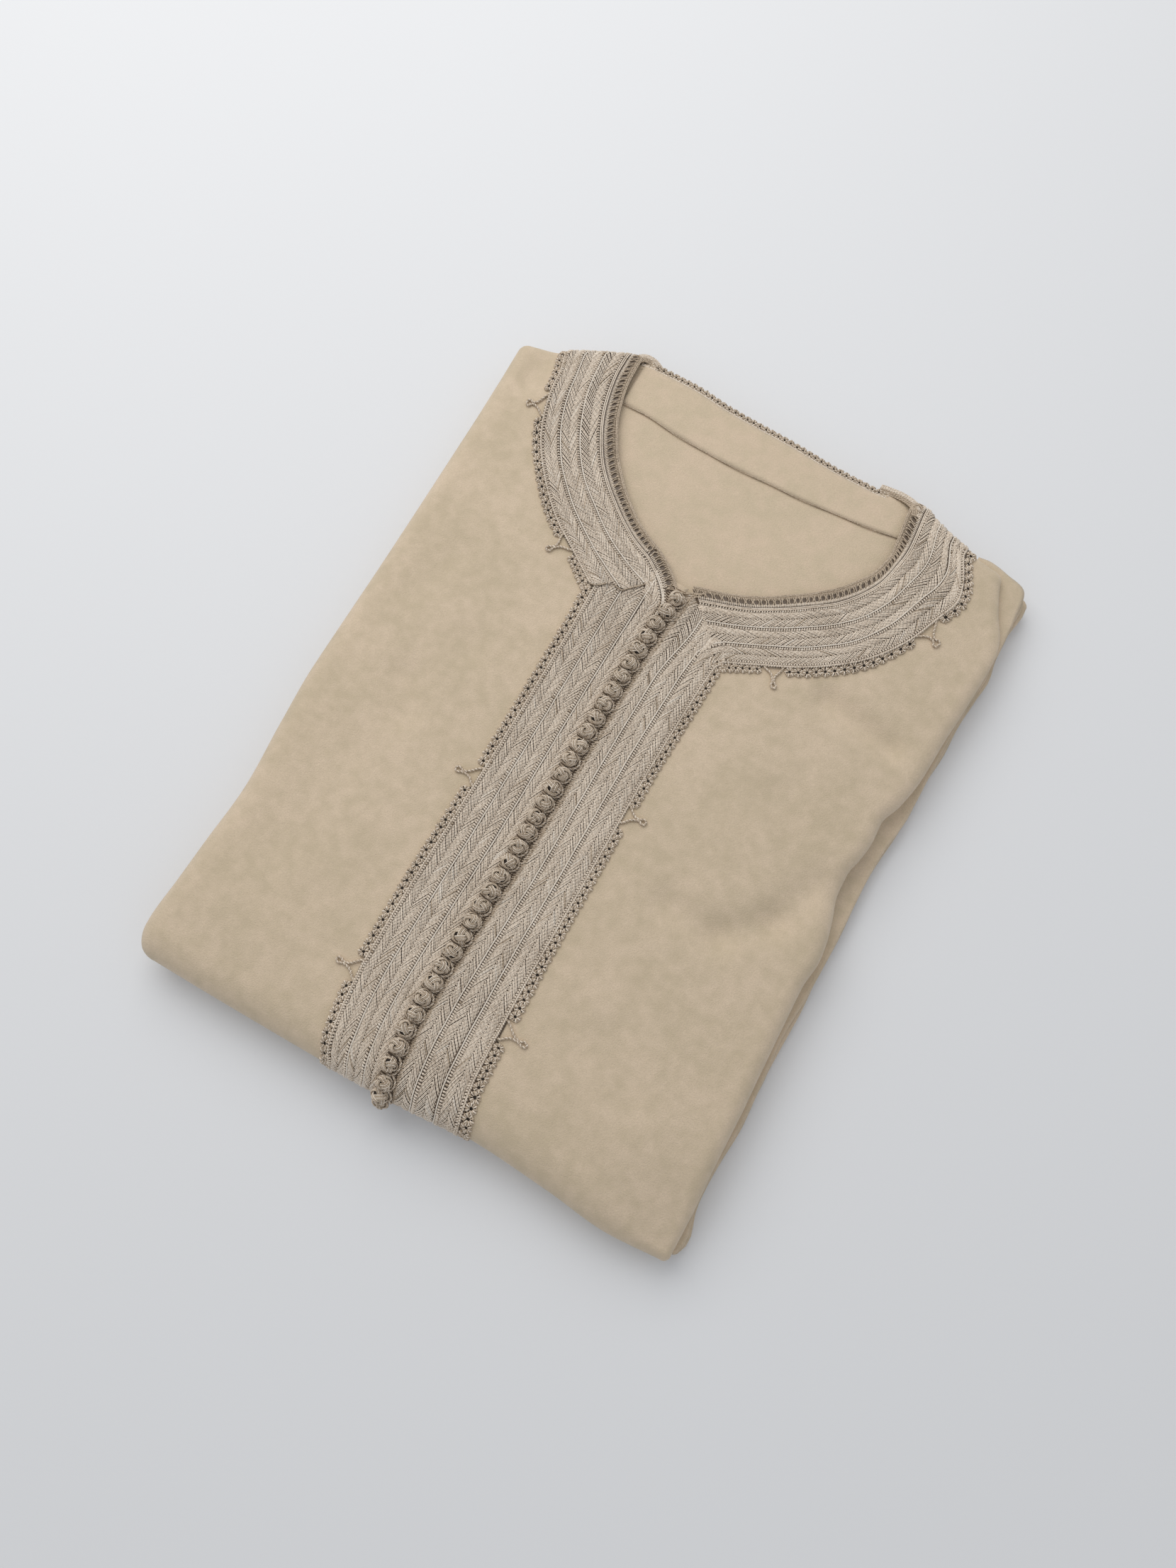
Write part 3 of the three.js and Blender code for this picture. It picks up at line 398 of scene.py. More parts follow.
def cloth(name, points, thickness, slot, node, finish):
    """A sheet through a grid of points, with its thickness in mm below them."""
    rows, columns = points.shape[0] - 1, points.shape[1] - 1
    bm = bmesh.new()
    bmesh.ops.create_grid(bm, x_segments=columns, y_segments=rows, size=0.5)
    mesh = mesh_of(name, bm)
    flat = np.empty(len(mesh.vertices) * 3)
    mesh.vertices.foreach_get("co", flat)
    share = flat.reshape(-1, 3)[:, :2] + 0.5
    column = np.rint(share[:, 0] * columns).astype(int)
    row = np.rint(share[:, 1] * rows).astype(int)
    mesh.vertices.foreach_set("co", points[row, column].ravel())
    piece = piece_from(name, mesh, slot, [node], finish)
    wall = piece.modifiers.new("wall", "SOLIDIFY")
    wall.thickness = thickness * MM
    wall.offset = -1
    return piece


SIDE_TUCK, BOTTOM_TUCK, SHOULDER_TUCK = math.radians(150), math.radians(155), math.radians(150)
SIDE_STEPS, FRONT_STEPS, BOTTOM_STEPS, SHOULDER_STEPS = 16, 50, 20, 10
LOWEST_ROW, ROW_STEP, FRONT_PLY = -168, 2.7, 0.9


def side_roll(side, y):
    return roll_of(pick(side_reach, side, y), top_height(side_line(side, y), y), pick(side_low, side, y))


def end_roll(end, x):
    return roll_of(pick(end_reach, end, x), top_height(x, end_line(end, x)), pick(end_low, end, x))


def over_lengths(turned, roll, steps):
    """Lengths of cloth past a fold line, evenly spread, up to the angle that it is turned by."""
    return np.linspace(1, 0, steps + 1)[:-1, None] * turned * roll


def front_lay(side):
    """A grid over one front, laid flat: from its tucked side to its free edge, and from hem to shoulder."""
    sign = -1 if side == "right" else 1
    notch = notch_inner[side][1]
    shoulder = float(end_line(1, 0))
    inner = np.stack([curve(np.linspace(0, neck_length[side], 120)) for curve in neck_curves[side][2:]], 1)
    levels = np.r_[np.arange(LOWEST_ROW, notch - 1, ROW_STEP), notch - 0.2,
                   np.linspace(notch + 0.5, shoulder, 40)]
    free = seam_x(levels) + sign * PLY / 2
    edge = np.where(levels > notch, np.interp(levels, inner[:, 1], inner[:, 0]), free)
    line = side_line(sign, levels)
    over = line + sign * over_lengths(SIDE_TUCK, side_roll(sign, levels), SIDE_STEPS)
    x = np.vstack([over, mix(line, edge, np.linspace(0, 1, FRONT_STEPS)[:, None])]).T
    y = np.repeat(levels[:, None], x.shape[1], 1)
    fold = end_line(-1, x[:1])
    low_y = np.vstack([fold - over_lengths(BOTTOM_TUCK, end_roll(-1, x[:1]), BOTTOM_STEPS),
                       mix(fold, levels[0], np.linspace(0, 0.85, 7)[:, None])])
    high_y = shoulder + over_lengths(SHOULDER_TUCK, end_roll(1, x[-1:]), SHOULDER_STEPS)[::-1]
    low_x, high_x = np.repeat(x[:1], len(low_y), 0), np.repeat(x[-1:], len(high_y), 0)
    low_x[:, SIDE_STEPS:] += ((seam_x(low_y[:, -1]) + sign * PLY / 2 - x[0, -1])[:, None]
                              * np.linspace(0, 1, FRONT_STEPS)[None, :] ** 2)
    x, y = np.vstack([low_x, x, high_x]), np.vstack([low_y, y, high_y])
    return (x[:, ::-1], y[:, ::-1]) if sign > 0 else (x, y)


def flat_area(x, y):
    """Area in square metres of cloth laid flat on a grid of places."""
    one = (x[1:, 1:] - x[:-1, :-1]) * (y[1:, :-1] - y[:-1, 1:])
    other = (y[1:, 1:] - y[:-1, :-1]) * (x[1:, :-1] - x[:-1, 1:])
    return float(np.abs(one - other).sum() / 2) * MM * MM


def as_sheet(lay, width=None):
    """Works out a piece's flat size and area from the grid it was laid from, and keeps neither."""
    x, y = lay
    flat = (float(np.ptp(x)) * MM if width is None else width, float(np.ptp(y)) * MM)
    flat_area(x, y)


for side in SIDES:
    lay = front_lay(side)
    front = cloth(f"crepe_front_{side}", laid(*lay), FRONT_PLY, "crepe", f"front_{side}", crepe)
    as_sheet(lay)

# ========================================
# All that the fronts hide: the back, the sleeves and sides folded in, and the skirt folded up behind. The
# layers are pressed flat together, and their folded edges show one above another round the packet.
lower_left = curve_of([(-193, 146.5), (-187, 149.5), (-180, 151.5), (-173, 150), (-163, 148), (-140, 148),
                       (-120, 148.6), (-100, 148.4), (-76, 147.8), (-54, 149), (-19, 149.3), (6, 149.8),
                       (30, 151), (50, 153.5), (76, 154.2), (128.1, 157.6), (140.4, 158.5),
                       (151.6, 157), (163.9, 155.9), (176.2, 157.6), (186.7, 158.9), (197, 157)])
lower_back = curve_of([(-155, 190), (-100, 199), (-60, 204), (40, 202), (90, 199), (130, 196.5), (160, 191)])
UNDER_FRONT, INSIDE_WIDEN = 2.2, 1.6
INSIDE_ROLL, LEDGE_DROP, RIGHT_INSET, BOTTOM_STAND = 2.6, 0.9, 2.5, 3
# The layers sink under the left sleeve: from which x and y, over what length, and how far.
SLEEVE_FROM, SLEEVE_FADE, SLEEVE_DROP = (110, 138), 14, 1.4
# How much of the height the roll leaves open above its low edge: the share, the least and the most.
OPEN_SHARE, LEAST_OPEN, MOST_OPEN = 0.28, 2.4, 4.6
# Folded edges from the top one down: top and bottom as a share of the stack, and how far each stands out.
folded_edges = [(1.0, 0.70, -0.6, 17, 0.4), (0.67, 0.36, 0.5, 29, 2.1), (0.33, 0.0, 0.0, 41, 4.4)]


# Places along a side and an end, degrees from one to the next round a corner, and the height near it.
SIDE_PLACES, END_PLACES, CORNER_STEP, NEAR_CORNER = 76, 58, 7.5, 190


def perimeter():
    """Places round the fold lines, each with the direction that faces out of the packet."""
    y, x = np.linspace(0, 1, SIDE_PLACES), np.linspace(0, 1, END_PLACES)
    fan = np.radians(np.arange(CORNER_STEP, 90, CORNER_STEP))
    stations = []
    corners = [(-1, -1), (1, -1), (1, 1), (-1, 1)]
    for number, (side, end) in enumerate(corners):
        next_side, next_end = corners[(number + 1) % 4]
        turn = math.radians(-180 + 90 * number)
        corner_y = float(end_line(end, side_line(side, end * NEAR_CORNER)))
        corner_x = float(side_line(side, corner_y))
        stations += [(corner_x, corner_y, turn + angle) for angle in fan]
        facing = turn + math.pi / 2
        if side != next_side:
            xs = mix(corner_x, float(side_line(next_side, corner_y)), x)
            stations += [(place, float(end_line(end, place)), facing) for place in xs]
        else:
            last = float(end_line(next_end, side_line(side, next_end * NEAR_CORNER)))
            stations += [(float(side_line(side, place)), place, facing) for place in mix(corner_y, last, y)]
    return np.array(stations).T


station_x, station_y, station_angle = perimeter()
out_x, out_y = np.cos(station_angle), np.sin(station_angle)
out_x[abs(out_x) < 1e-9] = 0
out_y[abs(out_y) < 1e-9] = 0
moved_x, moved_y = shift(station_x, station_y)
foot_x, foot_y = station_x + moved_x, station_y + moved_y
foot_z = top_height(foot_x, foot_y, INSIDE_WIDEN) - UNDER_FRONT
low = pick(side_low, out_x, station_y) * out_x**2 + pick(end_low, out_y, station_x) * out_y**2
rise = np.clip(OPEN_SHARE * (foot_z - low), LEAST_OPEN, MOST_OPEN)
under_sleeve = ease((foot_x - SLEEVE_FROM[0]) / SLEEVE_FADE) * ease((foot_y - SLEEVE_FROM[1]) / SLEEVE_FADE)
ledge = low - LEDGE_DROP - SLEEVE_DROP * under_sleeve
reach_x = pick(side_reach, out_x, station_y) - INSIDE_ROLL
reach_y = pick(end_reach, out_y, station_x) - INSIDE_ROLL
edge_x = np.where(out_x < 0, side_x[-1](station_y) + RIGHT_INSET, lower_left(station_y))
edge_y = np.where(out_y < 0, foot_y - BOTTOM_STAND, lower_back(foot_x))


def layer_ring(share, height):
    return np.stack([foot_x + out_x * reach_x * share, foot_y + out_y * reach_y * share, height], 1)


def layer_edge(inset, height):
    return np.stack([foot_x + abs(out_x) * (edge_x - foot_x) - out_x * inset,
                     foot_y + abs(out_y) * (edge_y - foot_y) - out_y * inset, height], 1)


rings = [layer_ring(-1.2, np.full_like(foot_z, 16.0)), layer_ring(-0.6, foot_z - 1.5), layer_ring(0, foot_z)]
for turn in np.radians(np.linspace(20, 150, 8)):
    rings.append(layer_ring(math.sin(turn), foot_z - (foot_z - low - rise) * (1 - math.cos(turn)) / 2))
rings.append(layer_ring(0.3, ledge + 0.4))
around = np.arange(len(foot_x)) * 2 * math.pi / len(foot_x)
for high, down, stand, waves, start in folded_edges:
    wave = 0.8 * np.sin(around * waves / 5 + start) + 0.5 * np.sin(around * waves + 2 * start)
    middle, half = (high + down) / 2, (high - down) / 2
    for ply, angle in [(p, a) for p in (0, 1) for a in (80, 35, -20, -75)]:
        bulge = math.radians(angle)
        height = middle + half * (0.5 - ply) + half * 0.5 * math.sin(bulge)
        inset = 2.4 - 2.2 * math.cos(bulge) - stand - wave + 0.5 * ply
        rings.append(layer_edge(inset, ledge * np.clip(height, 0, 1)))
    rings.append(layer_edge(5.0 - stand, ledge * max(down, 0.0)))
rings.append(layer_edge(9.0, np.zeros_like(foot_z)))

bm = bmesh.new()
bmesh.ops.create_grid(bm, x_segments=len(foot_x), y_segments=len(rings) - 1, size=0.5)
stack = np.array(rings) - PACKET_CENTRE
for vert in bm.verts:
    ring, station = round((vert.co.y + 0.5) * (len(rings) - 1)), round((vert.co.x + 0.5) * len(foot_x))
    vert.co = stack[ring, station % len(foot_x)] * MM
bmesh.ops.remove_doubles(bm, verts=bm.verts, dist=1e-6)
bmesh.ops.holes_fill(bm, edges=[edge for edge in bm.edges if edge.is_boundary], sides=0)
bmesh.ops.recalc_face_normals(bm, faces=bm.faces)
piece_from("folded_layers", mesh_of("folded_layers", bm), "crepe", ["hidden_layers"], crepe)

# ========================================
# Inside of the back, seen through the neck opening: the back panel face down, and the facing that is
# stitched round its neck edge, with a fine overlocked lower edge.
crepe_inside = crepe_finish("sand_crepe_inside", tone(225, 203, 176), tone(214, 196, 167))
FACING_DEPTH, BACK_DEPTH, BACK_BRAID_DEPTH = 1.85, 2.8, 4.3
PICOT_BACK = 4.0
# The back dips by up to 1 mm in the middle of the opening: its half width, middle and half height.
DIP_WIDE, DIP_Y, DIP_HIGH = 80, 160, 60
OPENING = (-90, 83)


def inside_back(x, y, lift=0.0):
    """Points in metres on the inside of the back; a lift of 0 is the outer face of the fronts."""
    x, y, lift = (np.asarray(v, float) for v in np.broadcast_arrays(x, y, lift))
    dip = ease(1 - np.hypot(x / DIP_WIDE, (y - DIP_Y) / DIP_HIGH))
    return (np.stack([x, y, top_height(x, y, INSIDE_WIDEN) - dip + lift], -1) - PACKET_CENTRE) * MM


def back_edge_y(x):
    """Upper edge of the back where it shows; it rises a little towards both ends of the opening."""
    shown = ease((x - OPENING[0]) / 6 + 1) * ease((OPENING[1] - x) / 6 + 1)
    arched = 2.4 * ease((x - 58) / 10) + 2.6 * ease((-76 - x) / 7)
    return end_y[1](x) - mix(8.5, PICOT_BACK + PLY, shown) + arched * shown


facing_seam_y = curve_of([(-90, 186), (-75, 185.5), (-50, 182.6), (-20, 180.5), (10, 180.5), (45, 181.5),
                          (65, 183), (85, 185.5)])


def between(low_x, high_x, columns, low_y, high_y, rows):
    x = np.repeat(np.linspace(low_x, high_x, columns + 1)[None, :], rows + 1, 0)
    return x, mix(low_y(x), high_y(x), np.linspace(0, 1, rows + 1)[:, None])


back_lay = between(-110, 106, 72, lambda x: np.full_like(x, 90.0), back_edge_y, 40)
back_panel = cloth("back_inside", inside_back(*back_lay, -BACK_DEPTH), 0.9, "crepe_inside", "back_panel",
                   crepe_inside)
as_sheet(back_lay)

facing_lay = between(-86, 84, 110, facing_seam_y, back_edge_y, 10)
facing = cloth("neck_facing", inside_back(*facing_lay, -FACING_DEPTH), 0.9, "crepe_inside", "back_facing",
               crepe_inside)
as_sheet(facing_lay)


def thread_finish(name, light, dark, sheen=0.2, roughness=0.4):
    silk = Finish(name)
    fleck, cloud = silk.noise(1500), silk.noise(60)
    shade = silk.spread(fleck * 0.8 + cloud * 0.2, 0.36, 0.56)
    return silk.finish(silk.blend(shade, dark, light), roughness, fleck, 0.00012, Sheen_Weight=sheen)


silk = thread_finish("silk_thread", tone(244, 230, 212), tone(196, 178, 157))
silk_light = thread_finish("silk_light_cord", tone(248, 238, 224), tone(218, 204, 186))
silk_shade = thread_finish("silk_shaded_thread", tone(208, 189, 165), tone(150, 131, 108))
# A near-black silk that is painted shade: discs in the ring holes, a cord under the neck edging's bars and
# balls inside the knots.
painted_shade_silk = thread_finish("silk_painted_shade", tone(44, 34, 25), tone(32, 24, 18), sheen=0.03, roughness=0.8)
# The braid's own ground, partly painted shade: its dark brown stands for the shade between the threads, and
# it runs on beside the knots.
silk_ground_and_shade = thread_finish("silk_ground_and_shade", tone(106, 88, 70), tone(80, 65, 50))
PLAIN, LIGHT, SHADED, PAINTED_SHADE = range(4)


def threads(name, lays, slot, nodes, sides=6, extra=()):
    """One mesh of many round threads. A lay is its points, radii in mm and finish, and True if it closes."""
    curve = bpy.data.curves.new(name, "CURVE")
    curve.dimensions = "3D"
    curve.bevel_depth = MM
    curve.bevel_resolution = (sides - 4) // 2
    curve.use_fill_caps = True
    for part in (silk, silk_light, silk_shade, painted_shade_silk):
        curve.materials.append(part)
    for points, radii, finish, *closed in lays:
        spline = curve.splines.new("POLY")
        spline.points.add(len(points) - 1)
        spline.points.foreach_set("co", np.c_[points, np.ones(len(points))].ravel())
        spline.points.foreach_set("radius", np.array(np.broadcast_to(radii, len(points)), float))
        spline.use_cyclic_u = any(closed)
        spline.material_index = finish
    holder = bpy.data.objects.new(name, curve)
    mesh = bpy.data.meshes.new_from_object(holder)
    bpy.data.objects.remove(holder)
    bpy.data.curves.remove(curve)
    mesh.name = name
    if extra:
        bm = bmesh.new()
        for part in (mesh, *extra):
            bm.from_mesh(part)
        bm.to_mesh(mesh)
        bm.free()
        for part in extra:
            bpy.data.meshes.remove(part)
    return piece_from(name, mesh, slot, nodes)


seam_x_places = np.linspace(-86, 84, 120)
seam_line = inside_back(seam_x_places, facing_seam_y(seam_x_places) + 0.25 * np.sin(seam_x_places / 6) - 0.2,
                        -FACING_DEPTH - 0.1)
threads("facing_seam", [(seam_line, 0.22, SHADED)], "crepe_inside", ["back_facing"])

# ========================================
# Edge of the left sleeve, folded in under the left shoulder. It is the same crepe as the fronts, and a
# rounded corner of it shows past the packet.
SLEEVE_Z, SLEEVE_BULGE, SLEEVE_TURN = 14.0, 1.2, 0.9
# From the shoulder down the side: inner x, y and outer x, y.
sleeve_rows = [(124, 193.5, 124.5, 199.5), (131, 192.5, 132, 200), (138.5, 191, 142, 197.5),
               (143.5, 184, 153.5, 193), (147, 174, 155.5, 178), (150, 164, 156, 164),
               (151.5, 152, 156, 150)]


def along_rows(rows, share, rounded=False):
    """The columns of a list of places, at a share of the way along it."""
    at = np.linspace(0, 1, len(rows))
    return [through(at, column, rounded)(share) for column in zip(*rows)]


inner_x, inner_y, outer_x, outer_y = along_rows(sleeve_rows, np.linspace(0, 1, 40), rounded=True)
across_sleeve = np.linspace(-0.5, 1, 9)[:, None]
sleeve_x, sleeve_y = mix(inner_x, outer_x, across_sleeve), mix(inner_y, outer_y, across_sleeve)
sleeve_z = SLEEVE_Z + SLEEVE_BULGE - SLEEVE_TURN * np.clip(across_sleeve, 0, 1) ** 3 + 0 * sleeve_x
sleeve_points = (np.stack([sleeve_x, sleeve_y, sleeve_z], -1) - PACKET_CENTRE) * MM
sleeve = cloth("sleeve_edge", sleeve_points[:, ::-1], 1.0, "crepe", "sleeve_left", crepe)

# ========================================
# Silk braid, three herringbone bands side by side, sewn down both fronts. Each band is laid threads that
# meet in a point, and a column of short stitches and a light cord lie beside each of the outer two. The
# knots lie on the same silk ground.
THREAD_PITCH, PAIR_GAP, GRAINS = 2.6, 0.14, 5
OUTER_SLANT, INNER_SLANT = math.tan(math.radians(32)), math.tan(math.radians(26))
BRAID_BASE, BOTTOM_END, SHOULDER_OVER = 0.3, -215.5, 14.5
# Bands from the outer edge: threads from, point, threads to, stitches to, cords at.
front_bands = [(2.2, 6.1, 10.0, 11.4, (11.85,)), (12.2, 16.2, 20.1, 21.5, (22.0,)),
               (22.4, 25.9, 29.6, 29.6, ())]
neck_bands = [(1.9, 5.5, 9.2, 10.4, (10.9,)), (11.3, 15.3, 19.4, 20.6, (21.1,)),
              (21.6, 25.7, 29.4, 30.3, (30.8, 31.6))]
EDGE_CORD, EDGE_STITCHES = 0.5, (0.95, 2.15)
chance = np.random.default_rng(11)


left_drawn_out = curve_of([(-6, 0), (0, 0), (11.85, 2.3), (22, 3.2), (29, 0), (30, 0)])


def front_x(side, s, y):
    """x of a place s mm from the outer edge of a front braid; past its inner edge, s runs to the seam."""
    outer, inner = (right_outer, right_inner) if side == "right" else (left_outer, left_inner)
    if side == "left":
        s = s - left_drawn_out(s) * ease((y - 52) / 34)
    within, past = np.minimum(s, PLACKET_WIDTH), np.clip(s - PLACKET_WIDTH, 0, 1)
    return outer(y) + (inner(y) - outer(y)) * within / PLACKET_WIDTH + (seam_x(y) - inner(y)) * past


def front_place(side):
    return lambda s, t, lift: laid(front_x(side, s, t), t, lift)


def neck_place(side):
    return lambda s, t, lift: laid(*neck_at(side, s / NECK_WIDTH, t), lift)


def mitre_y(side, s):
    """Height of the mitre on the front braid, at s from its outer edge."""
    return mix(notch_outer[side][1], notch_inner[side][1], np.asarray(s, float) / PLACKET_WIDTH)


def bent_place(side, front_s, neck_s, cut):
    """Places on a band that bends round the mitre without a seam: u mm beside its middle, t along it."""
    y = np.arange(BOTTOM_END - 6, mitre_y(side, front_s) - cut, 3.0)
    run = np.arange(cut, neck_length[side] + SHOULDER_OVER + 6, 3.0)
    line = np.vstack([np.stack([front_x(side, front_s, y), y], 1),
                      np.stack(neck_at(side, neck_s / NECK_WIDTH, run), 1)])
    along = lengths_along(line)
    corner = (along[len(y) - 1] + along[len(y)]) / 2
    line_x, line_y = (through(along - corner, line[:, k], rounded=True) for k in (0, 1))
    facing = 1 if side == "right" else -1

    def place(u, t, lift):
        step_x, step_y = line_x(t + 0.5) - line_x(t - 0.5), line_y(t + 0.5) - line_y(t - 0.5)
        size = np.hypot(step_x, step_y)
        return laid(line_x(t) + facing * step_y / size * u, line_y(t) - facing * step_x / size * u, lift)

    return place, (-corner + 6, along[-1] - corner - 6)


def clipped(starts, ends, inside):
    """Keeps the part of each straight thread where inside(s, t) is above zero."""
    a, b = inside(*starts.T), inside(*ends.T)
    keep = (a > 0) | (b > 0)
    starts, ends, a, b = starts[keep], ends[keep], a[keep, None], b[keep, None]
    cut = starts + (ends - starts) * a / np.where(a == b, 1, a - b)
    starts, ends = np.where(a < 0, cut, starts), np.where(b < 0, cut, ends)
    long = np.linalg.norm(ends - starts, axis=1) > 0.7
    return starts[long], ends[long]


def stitched(place, starts, ends, heights, radii):
    """Threads from starts to ends on a strip. A few of them are lighter or duller than the others."""
    shares = np.linspace(0, 1, len(heights))[None, :]
    s, t = (mix(starts[:, k:k + 1], ends[:, k:k + 1], shares) for k in (0, 1))
    uneven = chance.normal(0, 0.06, (len(s), 1))
    points = place(s, t, BRAID_BASE + np.array(heights) + uneven)
    finishes = chance.choice([PLAIN, LIGHT, SHADED], len(s), p=[0.96, 0.02, 0.02])
    return [(line, radii, int(finish)) for line, finish in zip(points, finishes)]


def band_threads(place, near, tip, far, point, first, last, inside):
    """Pairs of threads from both sides of a band to its point line."""
    lays = []
    grains = np.arange(2 * GRAINS + 1)
    arched = 0.35 + 0.65 * np.sin(grains / grains[-1] * math.pi) ** 0.6
    beads = np.where(grains % 2, 1.0, 0.58)
    for side_s, slant, radius in ((near, OUTER_SLANT, 0.43), (far, INNER_SLANT, 0.40)):
        pairs = np.arange(first - 12, last + 12, THREAD_PITCH) + (side_s == far) * THREAD_PITCH / 2
        half = THREAD_PITCH / 4 - PAIR_GAP / 2
        at = np.stack([pairs - half, pairs + half], 1).ravel()
        at = at + chance.normal(0, 0.04, len(at))
        sway = 0.1 * np.sin(at / 3.7 + near) + chance.normal(0, 0.07, len(at))
        over = -0.05 if side_s == near else 0.05
        ends = np.stack([tip + over + sway, at], 1)
        starts = np.stack([side_s + sway, at - point * abs(tip - side_s) / slant], 1)
        starts, ends = clipped(starts, ends, inside)
        for odd in (0, 1):
            radii = radius * (beads if odd else 1.56 - beads)
            lays += stitched(place, starts[odd::2], ends[odd::2], arched, radii)
    return lays


def ladder(place, from_s, to_s, point, first, last, inside):
    """A column of short stitches that lean a little."""
    rung = np.arange(first, last, THREAD_PITCH / 2)
    starts, ends = clipped(np.stack([from_s + 0 * rung, rung], 1),
                           np.stack([to_s + 0 * rung, rung + 0.4 * point], 1), inside)
    starts = starts + chance.normal(0, 0.06, starts.shape)
    return stitched(place, starts, ends, (0.35, 0.95, 0.95, 0.4), (0.3, 0.54, 0.54, 0.32))


def cord_line(place, s, first, last, inside, radius=0.4, finish=LIGHT):
    run = np.arange(first, last, 1.8)
    shown = run[inside(np.full_like(run, s), run) > 0]
    if len(shown) < 3:
        return []
    line = place(s + 0.06 * np.sin(shown / 4.1 + s), shown, BRAID_BASE + 0.92 + 0.05 * np.sin(shown / 2.3))
    return [(line, radius, finish)]


def herringbone(place, bands, point, first, last, inside):
    """The bands of a strip. point is 1 where the chevrons point along the strip, and -1 against it."""
    lays = []
    for near, tip, far, stitch, cords in bands:
        lays += band_threads(place, near, tip, far, point, first, last, inside)
        if stitch > far:
            lays += ladder(place, far - 0.1, stitch, point, first, last, inside)
        for cord in cords:
            lays += cord_line(place, cord, first, last, inside, finish=LIGHT if len(cords) == 1 else PLAIN)
    return lays


def edge_knots(place, point, first, last, inside, shift_s=0.0):
    """The knotty outer edge: slanted stitches over a thin cord, and a second row beside them."""
    low, high = EDGE_STITCHES
    cord, over = EDGE_CORD + shift_s, (EDGE_CORD - 0.45 + shift_s, EDGE_CORD + 0.5 + shift_s)
    return (cord_line(place, cord, first, last, inside, 0.30, PLAIN)
            + ladder(place, *over, 2 * point, first, last, inside)
            + ladder(place, low + shift_s, high + shift_s, -point, first, last, inside))


def strip_lay(side, low_s, high_s, columns, low_t, high_t, step):
    """A grid on a strip: columns from low_s to high_s, rows from low_t(s) to high_t(s), faced outwards."""
    s = np.linspace(low_s, high_s, columns + 1)
    rows = int(np.ptp([np.min(low_t(s)), np.max(high_t(s))]) / step)
    t = mix(low_t(s)[None, :], high_t(s)[None, :], np.linspace(0, 1, rows + 1)[:, None])
    s = np.repeat(s[None, :], rows + 1, 0)
    return (s[:, ::-1], t[:, ::-1]) if side == "left" else (s, t)


def silk_under(strip, side, points, lay, width):
    """The silk ground that the threads of a braid are sewn to. Its dark brown is partly painted shade
    between the threads.
    """
    node = f"{strip}_braid_{side}"
    ground = cloth(f"braid_ground_{strip}_{side}", points, 0.3, "silk_braid", node, silk_ground_and_shade)
    as_sheet(lay, width)


def other_bands(bands, side):
    return [band for number, band in enumerate(bands) if number != BENT[side]]


def from_point(band, wider):
    """A band measured from its point line, and drawn a little wider, since it bends there."""
    near, _, far, stitch, cords = (np.array(part) - band[1] for part in band)
    return near * wider, 0.0, far * wider, stitch * wider, cords * wider


POINTS = {"right": -1, "left": 1}
# The band that bends round each mitre in one piece: its place among the bands, and how far its straight
# parts stop short of the corner.
BENT, CORNER_CUT = {"right": 2, "left": 0}, {"right": 12.0, "left": 4.5}
FRONT_WIDER, NECK_WIDER, EDGE_WIDER = 1.06, 1.04, 1.05
UNDER_LAP, NOTCH_TOP, GROUND_LIFT = 2.6, 108, 0.3
# Fan of threads in the left corner: from the bent band, its reach along it, its step and its height.
FAN_FROM, FAN_REACH, FAN_STEP, FAN_HEIGHT = 4.4, 6.0, 0.9, 0.8
# Column of duller stitches beside the knots.
COLUMN_AT, COLUMN_STITCH, COLUMN_TOP = 28.7, (1.25, -1.8), 98.0
bent_bands = {}
for side in SIDES:
    front_tip, neck_tip = (bands[BENT[side]][1] for bands in (front_bands, neck_bands))
    bent_bands[side] = bent_place(side, front_tip, neck_tip, CORNER_CUT[side])
    place, point = front_place(side), POINTS[side]
    bent, (bent_first, _) = bent_bands[side]
    under_lap = UNDER_LAP if side == "right" else 0.0

    def inside(s, t):
        return np.minimum(mitre_y(side, s) - 0.2 + under_lap - t, t - BOTTOM_END)

    def before(u, t):
        return np.minimum(-t, t - bent_first)

    lays = herringbone(place, other_bands(front_bands, side), point, BOTTOM_END, NOTCH_TOP, inside)
    bent_band = from_point(front_bands[BENT[side]], FRONT_WIDER)
    lays += herringbone(bent, [bent_band], point, bent_first, 0, before)
    if side == "left":
        lays += edge_knots(bent, point, bent_first, 0, before, -front_tip * EDGE_WIDER)
        beside = front_bands[1][0]
        corner = place(beside - 0.3, float(mitre_y(side, beside)) + 0.6, BRAID_BASE + FAN_HEIGHT)
        for t in np.arange(-FAN_REACH, FAN_REACH + 0.1, FAN_STEP):
            start = bent(FAN_FROM, t, BRAID_BASE + FAN_HEIGHT)
            fan = mix(start, corner, np.array([0.0, 0.4, 0.85])[:, None])
            lays.append((fan, (0.3, 0.4, 0.25), PLAIN))
    else:
        lays += edge_knots(place, point, BOTTOM_END, NOTCH_TOP, inside)
    across = np.arange(BOTTOM_END, COLUMN_TOP, THREAD_PITCH / 2)
    starts = np.stack([COLUMN_AT + 0 * across, across + chance.normal(0, 0.1, len(across))], 1)
    column = stitched(place, starts, starts + COLUMN_STITCH, (0.3, 0.4, 0.4, 0.3), (0.3, 0.42, 0.42, 0.36))
    lays += [(line, radii, SHADED) for line, radii, _ in column]
    braid = threads(f"braid_threads_front_{side}", lays, "silk_braid", [f"front_braid_{side}"], sides=4)
    s, t = strip_lay(side, -0.2, PLACKET_WIDTH + 1, 14, lambda s: BOTTOM_END + 0 * s,
                     lambda s: np.minimum(mitre_y(side, s) + 1.5, COLUMN_TOP), 3.5)
    silk_under("front", side, place(s, t, BRAID_BASE + GROUND_LIFT), (s, t), 0.0374)

# ========================================
# The same braid round the neck, mitred at the notch and turned over the shoulders to the back. On the
# right the ends of its outer two bands lie on top of the front braid in rounded points.
RAISED_TO = 21.5
